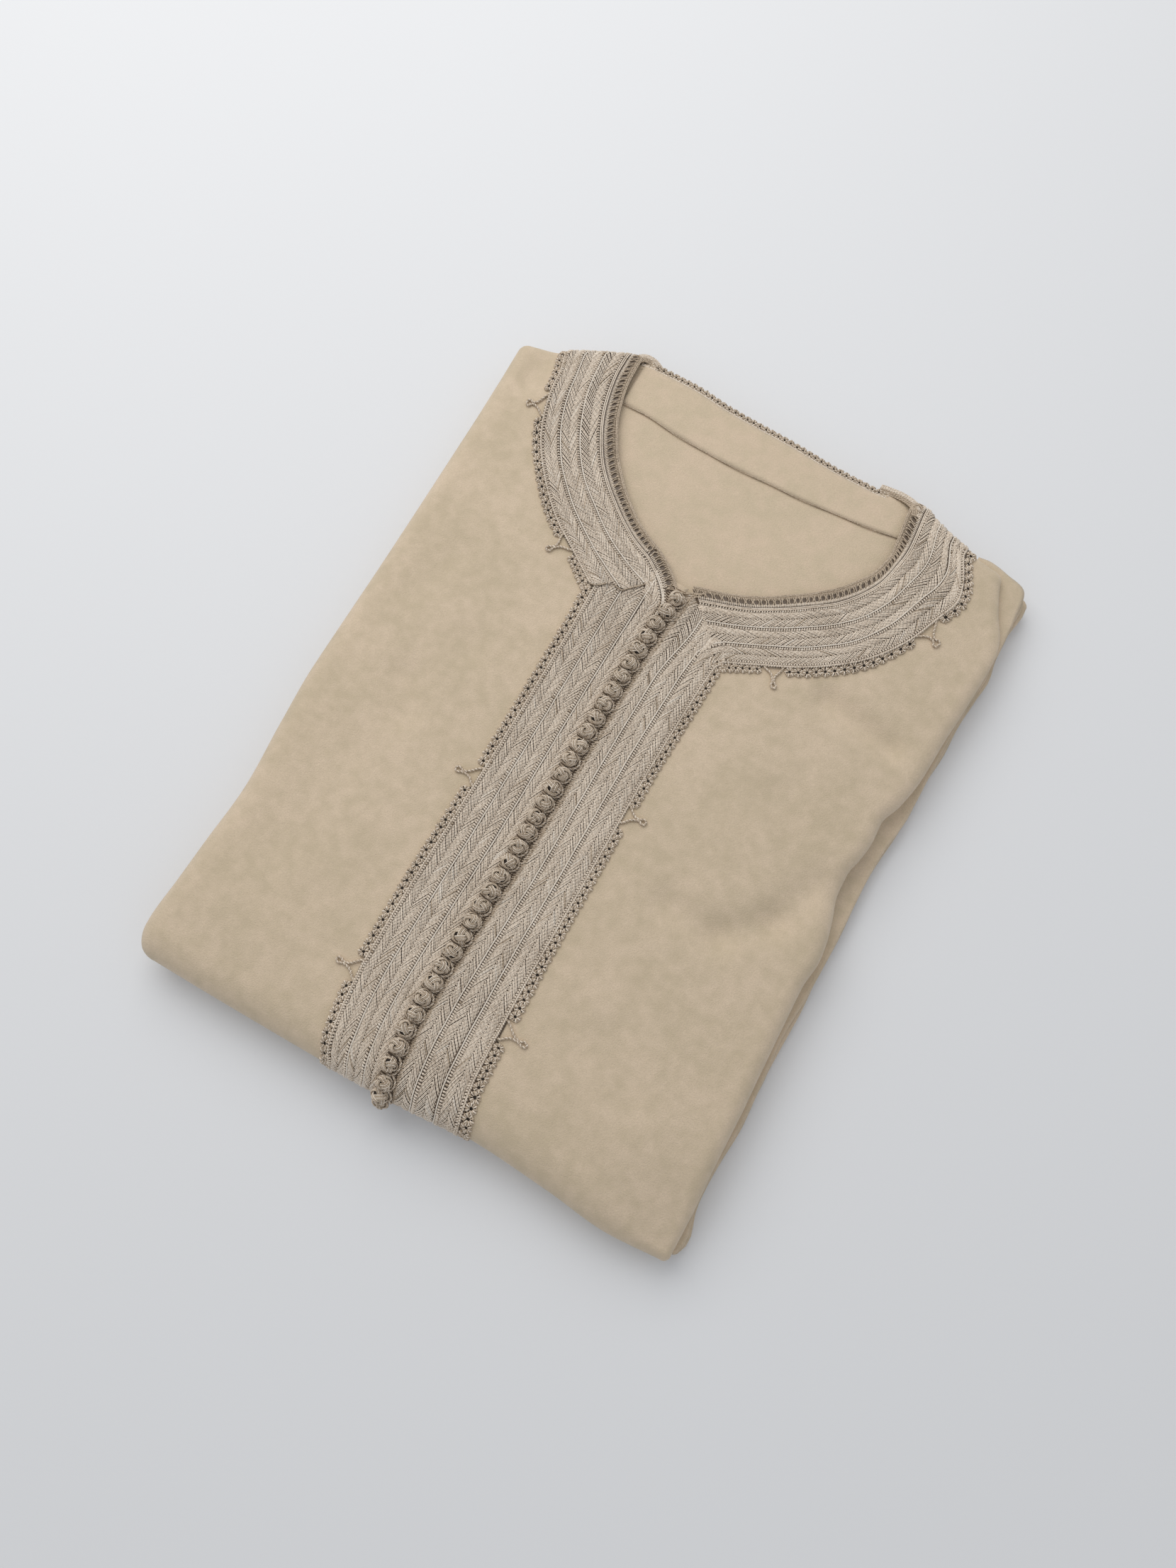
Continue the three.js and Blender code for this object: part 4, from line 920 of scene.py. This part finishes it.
# How far the lapped end of the right neck braid reaches past the mitre, across its bands.
lap_end = curve_of([(-6, 2.5), (0, 3.4), (1.2, 1.6), (3, 0.8), (5, 0.9), (7, 1.8), (8.7, 3.2), (9.3, 0.6),
                    (9.9, -2.6), (11, -4.3), (14, -3.3), (18, -2.4), (RAISED_TO, -1.2), (21.7, 0.2),
                    (33, 0.2)])
# Left mitre: twisted threads that close the corner, as x and y.
mitre_threads = [[(7, 103.2), (4.2, 101.6), (2.4, 98.5), (1.9, 94), (2.6, 90)],
                 [(7, 101.8), (4.6, 100.4), (3.4, 97.5), (3.0, 93.5), (3.6, 89)],
                 [(8.5, 104.4), (4.5, 102.8), (0.5, 100.6), (-3.5, 100.2), (-7.5, 100.6), (-10, 102)],
                 [(6, 103), (2.5, 101.6), (-0.5, 99.6), (-4, 98.9), (-7.5, 98.6), (-10, 97.6)]]
# Right notch: cord and stitches laid on the bent band, from and to beside its middle.
NOTCH_RUNGS, RUNGS_RUN, CORDS_RUN = [(3.3, 4.5), (5.4, 6.0), (6.2, 7.3)], (-11, 4), (-19, 3.5)

inner_places = {}
for side in SIDES:
    length, on_top, point = neck_length[side], side == "right", POINTS[side]
    flat_place = neck_place(side)
    bent, (bent_first, bent_last) = bent_bands[side]

    def place(s, t, lift):
        raised = ease((9 - t) / 9) * ease((RAISED_TO + 0.6 - s) / 0.8) if on_top else 0.0
        return flat_place(s, t, lift + PLY + raised)

    def start_of(s):
        return lap_end(s) if on_top else 0.2 + 0 * s

    def inside(s, t):
        return np.minimum(t - start_of(s), length + SHOULDER_OVER - t)

    def beyond(u, t):
        return np.minimum(t, bent_last - t)

    def lifted(u, t, lift):
        return bent(u, t, lift + PLY * ease(t / 12))

    def anywhere(u, t):
        return 1 + 0 * t

    inner_places[side] = flat_place
    if on_top:
        inner_places[side] = lambda s, t, lift, bent=bent: bent((s - neck_bands[2][1]) * NECK_WIDER, t, lift)
    lays = herringbone(place, other_bands(neck_bands, side), point, -8, length + SHOULDER_OVER + 2, inside)
    bent_band = from_point(neck_bands[BENT[side]], NECK_WIDER)
    lays += herringbone(lifted, [bent_band], point, 0, bent_last, beyond)
    if side == "left":
        lays += edge_knots(lifted, point, 0, bent_last, beyond, -neck_bands[0][1] * NECK_WIDER)
        share = np.linspace(0, 1, 16)
        for way in mitre_threads:
            way_x, way_y = along_rows(way, share)
            for turn in (0, math.pi):
                spin = share * 22 + turn
                line = laid(way_x + 0.3 * np.cos(spin), way_y, PLY + 1.0 + 0.3 * np.sin(spin))
                lays.append((line, 0.38, SHADED))
    else:
        lays += edge_knots(place, point, 0, length + SHOULDER_OVER + 2, inside)
        for cord in neck_bands[2][4]:
            lays += cord_line(lifted, (cord - neck_bands[2][1]) * NECK_WIDER, *CORDS_RUN, anywhere)
        for low_u, high_u in NOTCH_RUNGS:
            lays += ladder(lifted, low_u, high_u, point, *RUNGS_RUN, anywhere)
        for part in (np.linspace(0.3, 8.6, 14), np.linspace(9.5, RAISED_TO - 0.2, 18)):
            lays.append((place(part, lap_end(part), BRAID_BASE + 0.55 + 0 * part), 0.4, SHADED))
    braid = threads(f"braid_threads_neck_{side}", lays, "silk_braid", [f"neck_braid_{side}"], sides=4)
    s, t = strip_lay(side, -0.2, 37.4, 28, lambda s: start_of(s) + (0.4 if on_top else 0),
                     lambda s: length + SHOULDER_OVER + 0 * s, 2.6)
    points = place(s, t, BRAID_BASE + GROUND_LIFT)
    if on_top:
        beside_bend = ease((s - RAISED_TO) / 1.5)[..., None]
        under_bend = inner_places[side](s, t - 9 * ease((30 - t) / 30), BRAID_BASE + GROUND_LIFT + PLY)
        points = mix(points, under_bend, beside_bend)
    silk_under("neck", side, points, (s, t), 0.0376)

# ========================================
# Picot edgings: small buttonholed rings in a row outside the braids, broken by twisted cords that leave
# the braid, meet and end in a small eye.
RING_PITCH, RING_AT, ORNAMENT_GAP, CORD_PLY = 4.4, -2.0, 6.0, 0.36
ROUND = np.arange(10) * math.tau / 10


def ring(place, s, t, petals=12, inner=0.8, outer=2.5):
    """The short threads worked round one ring, and the thread that they are worked over."""
    angles = np.radians(np.arange(petals) * 360 / petals + t * 37 % 30) + chance.normal(0, 0.07, petals)
    reach = mix(inner, outer, np.array([0, 0.3, 0.72, 1])) * (1 + chance.normal(0, 0.06, (petals, 1)))
    points = place(s + np.cos(angles)[:, None] * reach, t + np.sin(angles)[:, None] * reach,
                   np.array([0.45, 0.95, 1.0, 0.4]) + chance.normal(0, 0.06, (petals, 1)))
    rim = place(s + outer * 0.9 * np.cos(ROUND), t + outer * 0.9 * np.sin(ROUND), 0.5 + 0 * ROUND)
    lays = [(line, (0.24, 0.36, 0.42, 0.34), (PLAIN, SHADED)[number % 2])
            for number, line in enumerate(points)]
    return lays + [(rim, 0.36, SHADED, True)]


def shade_discs(place, s, places, radius=2.15):
    """Dark discs of painted shade in the hollows: one in each ring, and one between it and the next, beside
    the braid.
    """
    bm = bmesh.new()
    for aside, further, reach in ((0, 0, radius), (1.5, RING_PITCH / 2, 0.75)):
        for t in places:
            rim = bmesh.ops.create_circle(bm, cap_ends=True, segments=10, radius=MM)["verts"]
            ring_s, ring_t = s + aside + reach * np.cos(ROUND), t + further + reach * np.sin(ROUND)
            for vert, at in zip(rim, place(ring_s, ring_t, 0.3)):
                vert.co = at
    for face in bm.faces:
        face.material_index = PAINTED_SHADE
    bmesh.ops.recalc_face_normals(bm, faces=bm.faces)
    return mesh_of("shade_discs", bm)


def twisted(place, path, pitch=1.7):
    """Two threads twisted round a path of (s, t) places."""
    path = np.array(path, float)
    run = lengths_along(path)
    fine = np.linspace(0, run[-1], int(run[-1] / CORD_PLY))
    s, t = (through(run, path[:, k], rounded=True)(fine) for k in (0, 1))
    centre = place(s, t, 0.9 + 0 * s)
    along = unit(np.gradient(centre, axis=0))
    up = place(s, t, 1.9 + 0 * s) - centre
    up = unit(up - along * (up * along).sum(1, keepdims=True))
    beside = np.cross(along, up)
    lays = []
    for start in (0, math.pi):
        spin = (fine / pitch * 2 * math.pi + start)[:, None]
        points = centre + (np.cos(spin) * up + np.sin(spin) * beside) * CORD_PLY * 0.9 * MM
        lays.append((points, CORD_PLY, PLAIN if start else SHADED))
    return lays


def ornament(place, t, number):
    """A cord that leaves the braid below t, meets itself, makes a small eye and comes back above t."""
    lean, reach = (number % 3 - 1) * 0.9, 0.5 * (number % 2)
    way = [(0.3, -4.9), (-1.2, -4.2), (-2.5, -2.7), (-4.1, -1.3), (-6.0, -0.6), (-8.1, -0.5), (-9.4, -1.25),
           (-10.7, -1.1), (-11.3, 0), (-10.7, 1.1), (-9.4, 1.25), (-8.1, 0.5), (-6.0, 0.62), (-4.4, 1.6),
           (-2.8, 3.1), (-1.3, 4.6), (0.3, 5.5)]
    way = [(s - (reach if s < -7 else 0), along) for s, along in way]
    return twisted(place, [(s, t + along + lean * min(1, max(0, -s - 3) / 5)) for s, along in way])


def picot(strip, side, place, first, last, ornaments_at, number):
    """A row of rings from first to last, left open at the cords of its ornaments."""
    rings = [t for t in np.arange(first, last, RING_PITCH)
             if min(abs(t - at) for at in ornaments_at) > ORNAMENT_GAP]
    lays = [lay for t in rings for lay in ring(place, RING_AT, t)]
    for cord, t in enumerate(ornaments_at):
        lays += ornament(place, t, number + cord)
    threads(f"picot_rings_{strip}_{side}", lays, "silk_cord", [f"picot_{strip}_{side}"],
            extra=[shade_discs(place, RING_AT, rings)])


front_ornaments = {"right": (-38, -148), "left": (-19, -139)}
neck_ornaments = {"right": (0.25, 0.78), "left": (0.22, 0.72)}
for number, side in enumerate(SIDES):
    length, top = neck_length[side], notch_outer[side][1]
    picot("front", side, front_place(side), BOTTOM_END + 1.5, top - 1.0, front_ornaments[side], 2 * number)
    ornaments_at = [share * length for share in neck_ornaments[side]]
    picot("outer", side, neck_place(side), 1.6, length + SHOULDER_OVER, ornaments_at, 2 * number + 1)

# ========================================
# The edging inside the neck: an openwork row of buttonholed bars between the braid and two smooth cords,
# all of silk cord. At each shoulder it turns over to the back.
BAR_PITCH, EDGING_FROM, EDGING_TO = 3.5, 32.9, 37.7
# Stitches over both ends of the bars: at, then across the edging, along it, height and finish.
bar_stitches = [(EDGING_FROM, (-0.5, 0.3, 1.2), (0.0, 0.15, 0.3), (0.75, 1.2, 0.7), PLAIN),
                (EDGING_TO, (-1.5, -0.7, 0.0), (0.3, 0.1, 0.0), (0.6, 1.05, 0.8), SHADED)]
# A bar's two threads: how far each bows out, how it leans near the shoulder, and its height.
BAR_BOW = np.array([2.5, 1.8, 1.1, 1.1, 1.8, 2.5])
BAR_LEAN = np.array([-1.0, -0.6, -0.2, 0.2, 0.6, 1.0])
BAR_HEIGHT = np.array([0.8, 1.1, 1.2, 1.2, 1.1, 0.8])
# Where the edging turns over each shoulder to the back: x, y and height.
turn_back = {
    "right": [(-90, 203, 24), (-90.3, 210, 23.5), (-88.6, 214.4, 22.5), (-85.4, 216, 21.5),
              (-81.5, 215.2, 20.5), (-77.5, 213, 19.5)],
    "left": [(83.5, 199, 25.5), (82.3, 203, 24.5), (78, 205.8, 23), (72.5, 207, 22), (66.5, 207.2, 21),
             (61, 207.2, 20)],
}
TURNED_ROWS, ROW_TWIST, ROW_SINK = 6, 70, 0.12
for side in SIDES:
    place, length = inner_places[side], neck_length[side]
    start, end = (-9.0, bent_bands[side][1][1]) if side == "right" else (0.9, length + SHOULDER_OVER)
    lays = []
    for t in np.arange(start + (4.0 if side == "right" else 0.6), end, BAR_PITCH):
        lean = 0.9 * ease((t - 0.6 * length) / (0.3 * length))
        for across in np.arange(0, BAR_PITCH - 0.2, BAR_PITCH / 4):
            for at, aside, further, height, finish in bar_stitches:
                line = place(at + np.array(aside), np.array(further) + t + across, PLY + np.array(height))
                lays.append((line, (0.28, 0.42, 0.28), finish))
        for beside in (-0.4, 0.4):
            line = place(np.linspace(EDGING_FROM + 0.3, EDGING_TO - 0.5, 6),
                         t + beside * BAR_BOW + lean * BAR_LEAN + chance.normal(0, 0.12), PLY + BAR_HEIGHT)
            lays.append((line, 0.36, SHADED))
    run = np.arange(start, end, 2.0)
    # A thick near-black cord of painted shade under the bars, seen through the holes between them.
    under = place((EDGING_FROM + EDGING_TO) / 2 - 0.2, run[2:], PLY - 0.7 + 0 * run[2:])
    lays.append((under, 1.3, PAINTED_SHADE))
    for s, lift, radius in ((EDGING_TO + 0.3, 0.95, 0.42), (EDGING_TO + 0.9, 0.7, 0.4)):
        lays.append((place(s + 0.08 * np.sin(run / 3.1), run, PLY + lift + 0 * run), radius, SHADED))
    share = np.linspace(0, 1, 60)
    way = np.stack(along_rows(turn_back[side], share, rounded=True), 1)
    ahead = np.gradient(way, axis=0)
    aside = unit(np.stack([-ahead[:, 1], ahead[:, 0], 0 * share], 1) * (1 if side == "right" else -1))
    for row in range(TURNED_ROWS):
        for turn in (0, math.pi):
            spin = (share * ROW_TWIST + turn)[:, None]
            sink = 0.3 * np.sin(spin) - ROW_SINK * row**1.6
            points = way + aside * (row - 0.8 + 0.3 * np.cos(spin)) + (0, 0, 1) * sink
            finish = SHADED if row < TURNED_ROWS / 2 else PLAIN
            lays.append(((points - PACKET_CENTRE) * MM, 0.4, finish))
    threads(f"picot_bars_inner_{side}", lays, "silk_cord", [f"picot_inner_{side}"], sides=4)

# ========================================
# Neck edge of the back: its braid is sewn on the outside, face down, and only the ring edging stands
# out beyond the folded shoulder line.
BACK_FROM, BACK_TO, BACK_RING_PITCH, BACK_RING_AT = -80, 67, 3.9, -1.75


def back_place(s, t, lift):
    return inside_back(t, end_y[1](np.asarray(t, float)) - PICOT_BACK - s, lift - BACK_DEPTH - 0.2)


def under_place(s, t, lift):
    return inside_back(t, back_edge_y(np.asarray(t, float)) - s, -BACK_BRAID_DEPTH - lift)


rings = np.arange(-86.8, BACK_TO, BACK_RING_PITCH)
lays = [lay for t in rings for lay in ring(back_place, BACK_RING_AT, t, 10, 0.65, 2.0)]
run = np.arange(-88, BACK_TO + 0.5, 2.0)
lays.append((back_place(0.1 + 0 * run, run, 0.75 + 0 * run), 0.5, PLAIN))
threads("picot_rings_back", lays, "silk_cord", ["picot_back"],
        extra=[shade_discs(back_place, BACK_RING_AT, rings, 1.7)])

s, t = strip_lay("back", 0, 30, 6, lambda s: BACK_FROM + 0 * s, lambda s: BACK_TO + 0 * s, 3)
ground = cloth("braid_ground_back", under_place(s, t, 0.0), 0.5, "silk_braid", "neck_braid_back",
               silk_ground_and_shade)
lays = []
for near, tip, far, _, _ in front_bands:
    for t in np.arange(BACK_FROM, 64, THREAD_PITCH / 2):
        line = under_place(np.array([near, tip, far]), t + np.array([-2.5, 0.0, -3.0]), 0.6)
        lays.append((line, 0.4, PLAIN))
braid = threads("braid_threads_back", lays, "silk_braid", ["neck_braid_back"], sides=4)

# ========================================
# Knot buttons: each is one length of four threads worked over and under itself into a ball, sewn to the
# right front, one above another from the notch to the hem.
KNOTS, KNOT_PITCH, FIRST_KNOT_Y = 36, 8.5, 94
KNOT_CORE, KNOT_WEAVE, KNOT_SHAPE, KNOT_LIFT = 3.3, 0.5, (1.07, 0.97, 0.80), 3.2
LEADS, BIGHTS, KNOT_THREADS, KNOT_SPACE = 4, 3, 4, 0.72


def knot_ball():
    """Lines of the knot's threads round a ball, in millimetres, before it is turned and squashed."""
    u = np.linspace(0, 2 * math.pi, 73)[:-1]

    def on_ball(u):
        turn, rise = LEADS * u, math.radians(62) * np.sin(BIGHTS * u)
        radius = KNOT_CORE + 0.3 + KNOT_WEAVE * np.cos((LEADS - 1) * BIGHTS * u)
        facing = np.stack([np.cos(turn) * np.cos(rise), np.sin(turn) * np.cos(rise), np.sin(rise)], 1)
        return facing * radius[:, None]

    middle = on_ball(u)
    along = on_ball(u + 1e-3) - on_ball(u - 1e-3)
    beside = unit(np.cross(middle, along))
    size = np.linalg.norm(middle, axis=1, keepdims=True)
    steps = np.arange(KNOT_THREADS) - (KNOT_THREADS - 1) / 2
    return [unit(middle + beside * step * KNOT_SPACE) * size for step in steps]


def knot_place(number):
    """Where a knot sits on the laid-out cloth."""
    along = number * KNOT_PITCH
    fold_x = float(seam_x(BOTTOM_Y)) - KNOT_COLUMN / 2
    fold_y, roll = float(end_line(-1, fold_x)), float(end_roll(-1, fold_x))
    turned = max(0.0, along - (FIRST_KNOT_Y - fold_y)) / (roll + 3.1)
    y = max(FIRST_KNOT_Y - along, fold_y) - turned * roll
    moved = 2.4 * float(ease((y - 74) / 20))
    return float(seam_x(y)) - PLY / 2 - KNOT_COLUMN / 2 + moved, y


ball = knot_ball()
lays, shade_cores = [], []
for number in range(KNOTS):
    x, y = knot_place(number)
    base = laid(x, y, PLY)
    up = unit(laid(x, y, PLY + 1) - base)
    ahead = laid(x, y + 1, PLY) - base
    ahead = unit(ahead - up * (ahead @ up))
    axes = np.stack([np.cross(ahead, up), ahead, up], 1)
    # Each knot leans, turns and sits a little differently.
    lean = math.radians(38 + 26 * math.sin(number * 2.4))
    spin = (Matrix.Rotation(number * 2.399, 3, "Z") @ Matrix.Rotation(lean, 3, "X")
            @ Matrix.Rotation(number * 1.7, 3, "Z"))
    size = 1.0 + 0.025 * math.sin(number * 1.9)
    settle = np.array(KNOT_SHAPE) * size
    side_step = 0.3 * math.sin(number * 3.1)
    centre = base + up * KNOT_LIFT * MM + axes[:, 0] * side_step * MM
    for strand, line in enumerate(ball):
        turned_line = (line @ np.array(spin).T) * settle
        finish = (PLAIN, SHADED)[strand % 2]
        lays.append((centre + turned_line @ axes.T * MM, 0.34 * size, finish, True))
    # A near-black ball of painted shade inside each knot, seen as shade between its threads.
    bm = bmesh.new()
    bmesh.ops.create_icosphere(bm, subdivisions=2, radius=(KNOT_CORE - 0.05) * MM)
    bmesh.ops.scale(bm, vec=Vector(KNOT_SHAPE), verts=bm.verts)
    stands = Matrix.Translation(Vector(centre)) @ Matrix(axes).to_4x4()
    bmesh.ops.transform(bm, matrix=stands, verts=bm.verts)
    for face in bm.faces:
        face.material_index = PAINTED_SHADE
    shade_cores.append(mesh_of("knot_shade_core", bm))
threads("knot_buttons", lays, "silk_cord", [f"knot_{number + 1:02d}" for number in range(KNOTS)], sides=4,
        extra=shade_cores)

# ========================================
# Button loops: a doubled cord for each knot, worked on the edge of the left front and laid round the
# knot's neck. A row of small duller stitches joins them to the braid.
LOOP_SWEEP, LOOP_REACH, LOOP_HIGH, LOOP_LIFT = (-78, 70), 4.95, 4.1, 0.6
JOIN_FROM, JOIN_STEP = -4.2, 1.3
lays = []
for number in range(KNOTS):
    x, y = knot_place(number)
    sweep = np.radians(np.linspace(*LOOP_SWEEP, 9))
    reach = LOOP_REACH + 0.2 * math.sin(number * 2.7)
    way = np.stack([x + np.cos(sweep) * reach, y + np.sin(sweep) * LOOP_HIGH - 0.2], 1)
    lays += twisted(lambda s, t, lift: laid(s, t, lift + PLY + LOOP_LIFT), way, pitch=2.2)
    for step in np.arange(0, KNOT_PITCH, JOIN_STEP):
        edge = float(left_inner(y + JOIN_FROM + step))
        line = laid(edge + np.array([-1.3, -0.5, 0.5]), y + JOIN_FROM + step + np.array([-0.4, 0.0, 0.5]),
                    PLY + np.array([0.5, 1.0, 0.8]))
        lays.append((line, (0.27, 0.38, 0.27), SHADED))
threads("button_loop_cords", lays, "silk_cord", ["button_loops"], sides=4)

# ========================================
# Camera, floor and light: a plain pale floor, with one soft window light high up beyond the neck and a
# little to one side, and a pale room round it.
azimuth, elevation, roll = math.radians(31.15), math.radians(75), math.radians(-2)
back = Vector((math.sin(azimuth) * math.cos(elevation), -math.cos(azimuth) * math.cos(elevation),
               math.sin(elevation)))
right = Vector((math.cos(azimuth), math.sin(azimuth), 0))
up = back.cross(right)
camera_right = right * math.cos(roll) + up * math.sin(roll)
camera_up = up * math.cos(roll) - right * math.sin(roll)
target, camera_distance = Vector((-0.00306, -0.01699, 0)), 0.61497
camera_data = bpy.data.cameras.new("camera")
camera_data.lens, camera_data.sensor_width = 26, 34.6
camera = bpy.data.objects.new("camera", camera_data)
bpy.context.scene.collection.objects.link(camera)
turned = Matrix((camera_right, camera_up, back)).transposed().to_4x4()
camera.matrix_world = Matrix.Translation(target + back * camera_distance) @ turned
bpy.context.scene.camera = camera

bm = bmesh.new()
bmesh.ops.create_grid(bm, x_segments=1, y_segments=1, size=3.0)
floor = bpy.data.objects.new("floor", mesh_of("floor", bm))
bpy.context.scene.collection.objects.link(floor)
card = Finish("white_card")
floor.data.materials.append(card.finish(tone(238, 239, 241), 0.7, card.noise(400), 0.00002))

world = bpy.data.worlds.new("room")
world.use_nodes = True
world.node_tree.nodes["Background"].inputs["Color"].default_value = (0.95, 0.97, 1.0, 1)
world.node_tree.nodes["Background"].inputs["Strength"].default_value = 0.5
bpy.context.scene.world = world
lamp_data = bpy.data.lights.new("window", "AREA")
lamp_data.shape, lamp_data.size, lamp_data.size_y = "RECTANGLE", 1.6, 1.2
lamp_data.energy = 11.8
lamp_data.color = (1.0, 0.985, 0.96)
lamp = bpy.data.objects.new("window", lamp_data)
bpy.context.scene.collection.objects.link(lamp)
beyond_neck, aside, above = 0.95, 0.3, 0.85
lamp.location = target + camera_up * beyond_neck - camera_right * aside + Vector((0, 0, above))
lamp.rotation_mode = "QUATERNION"
lamp.rotation_quaternion = (target - lamp.location).to_track_quat("-Z", "Y")
bpy.context.scene.view_settings.view_transform = "Standard"
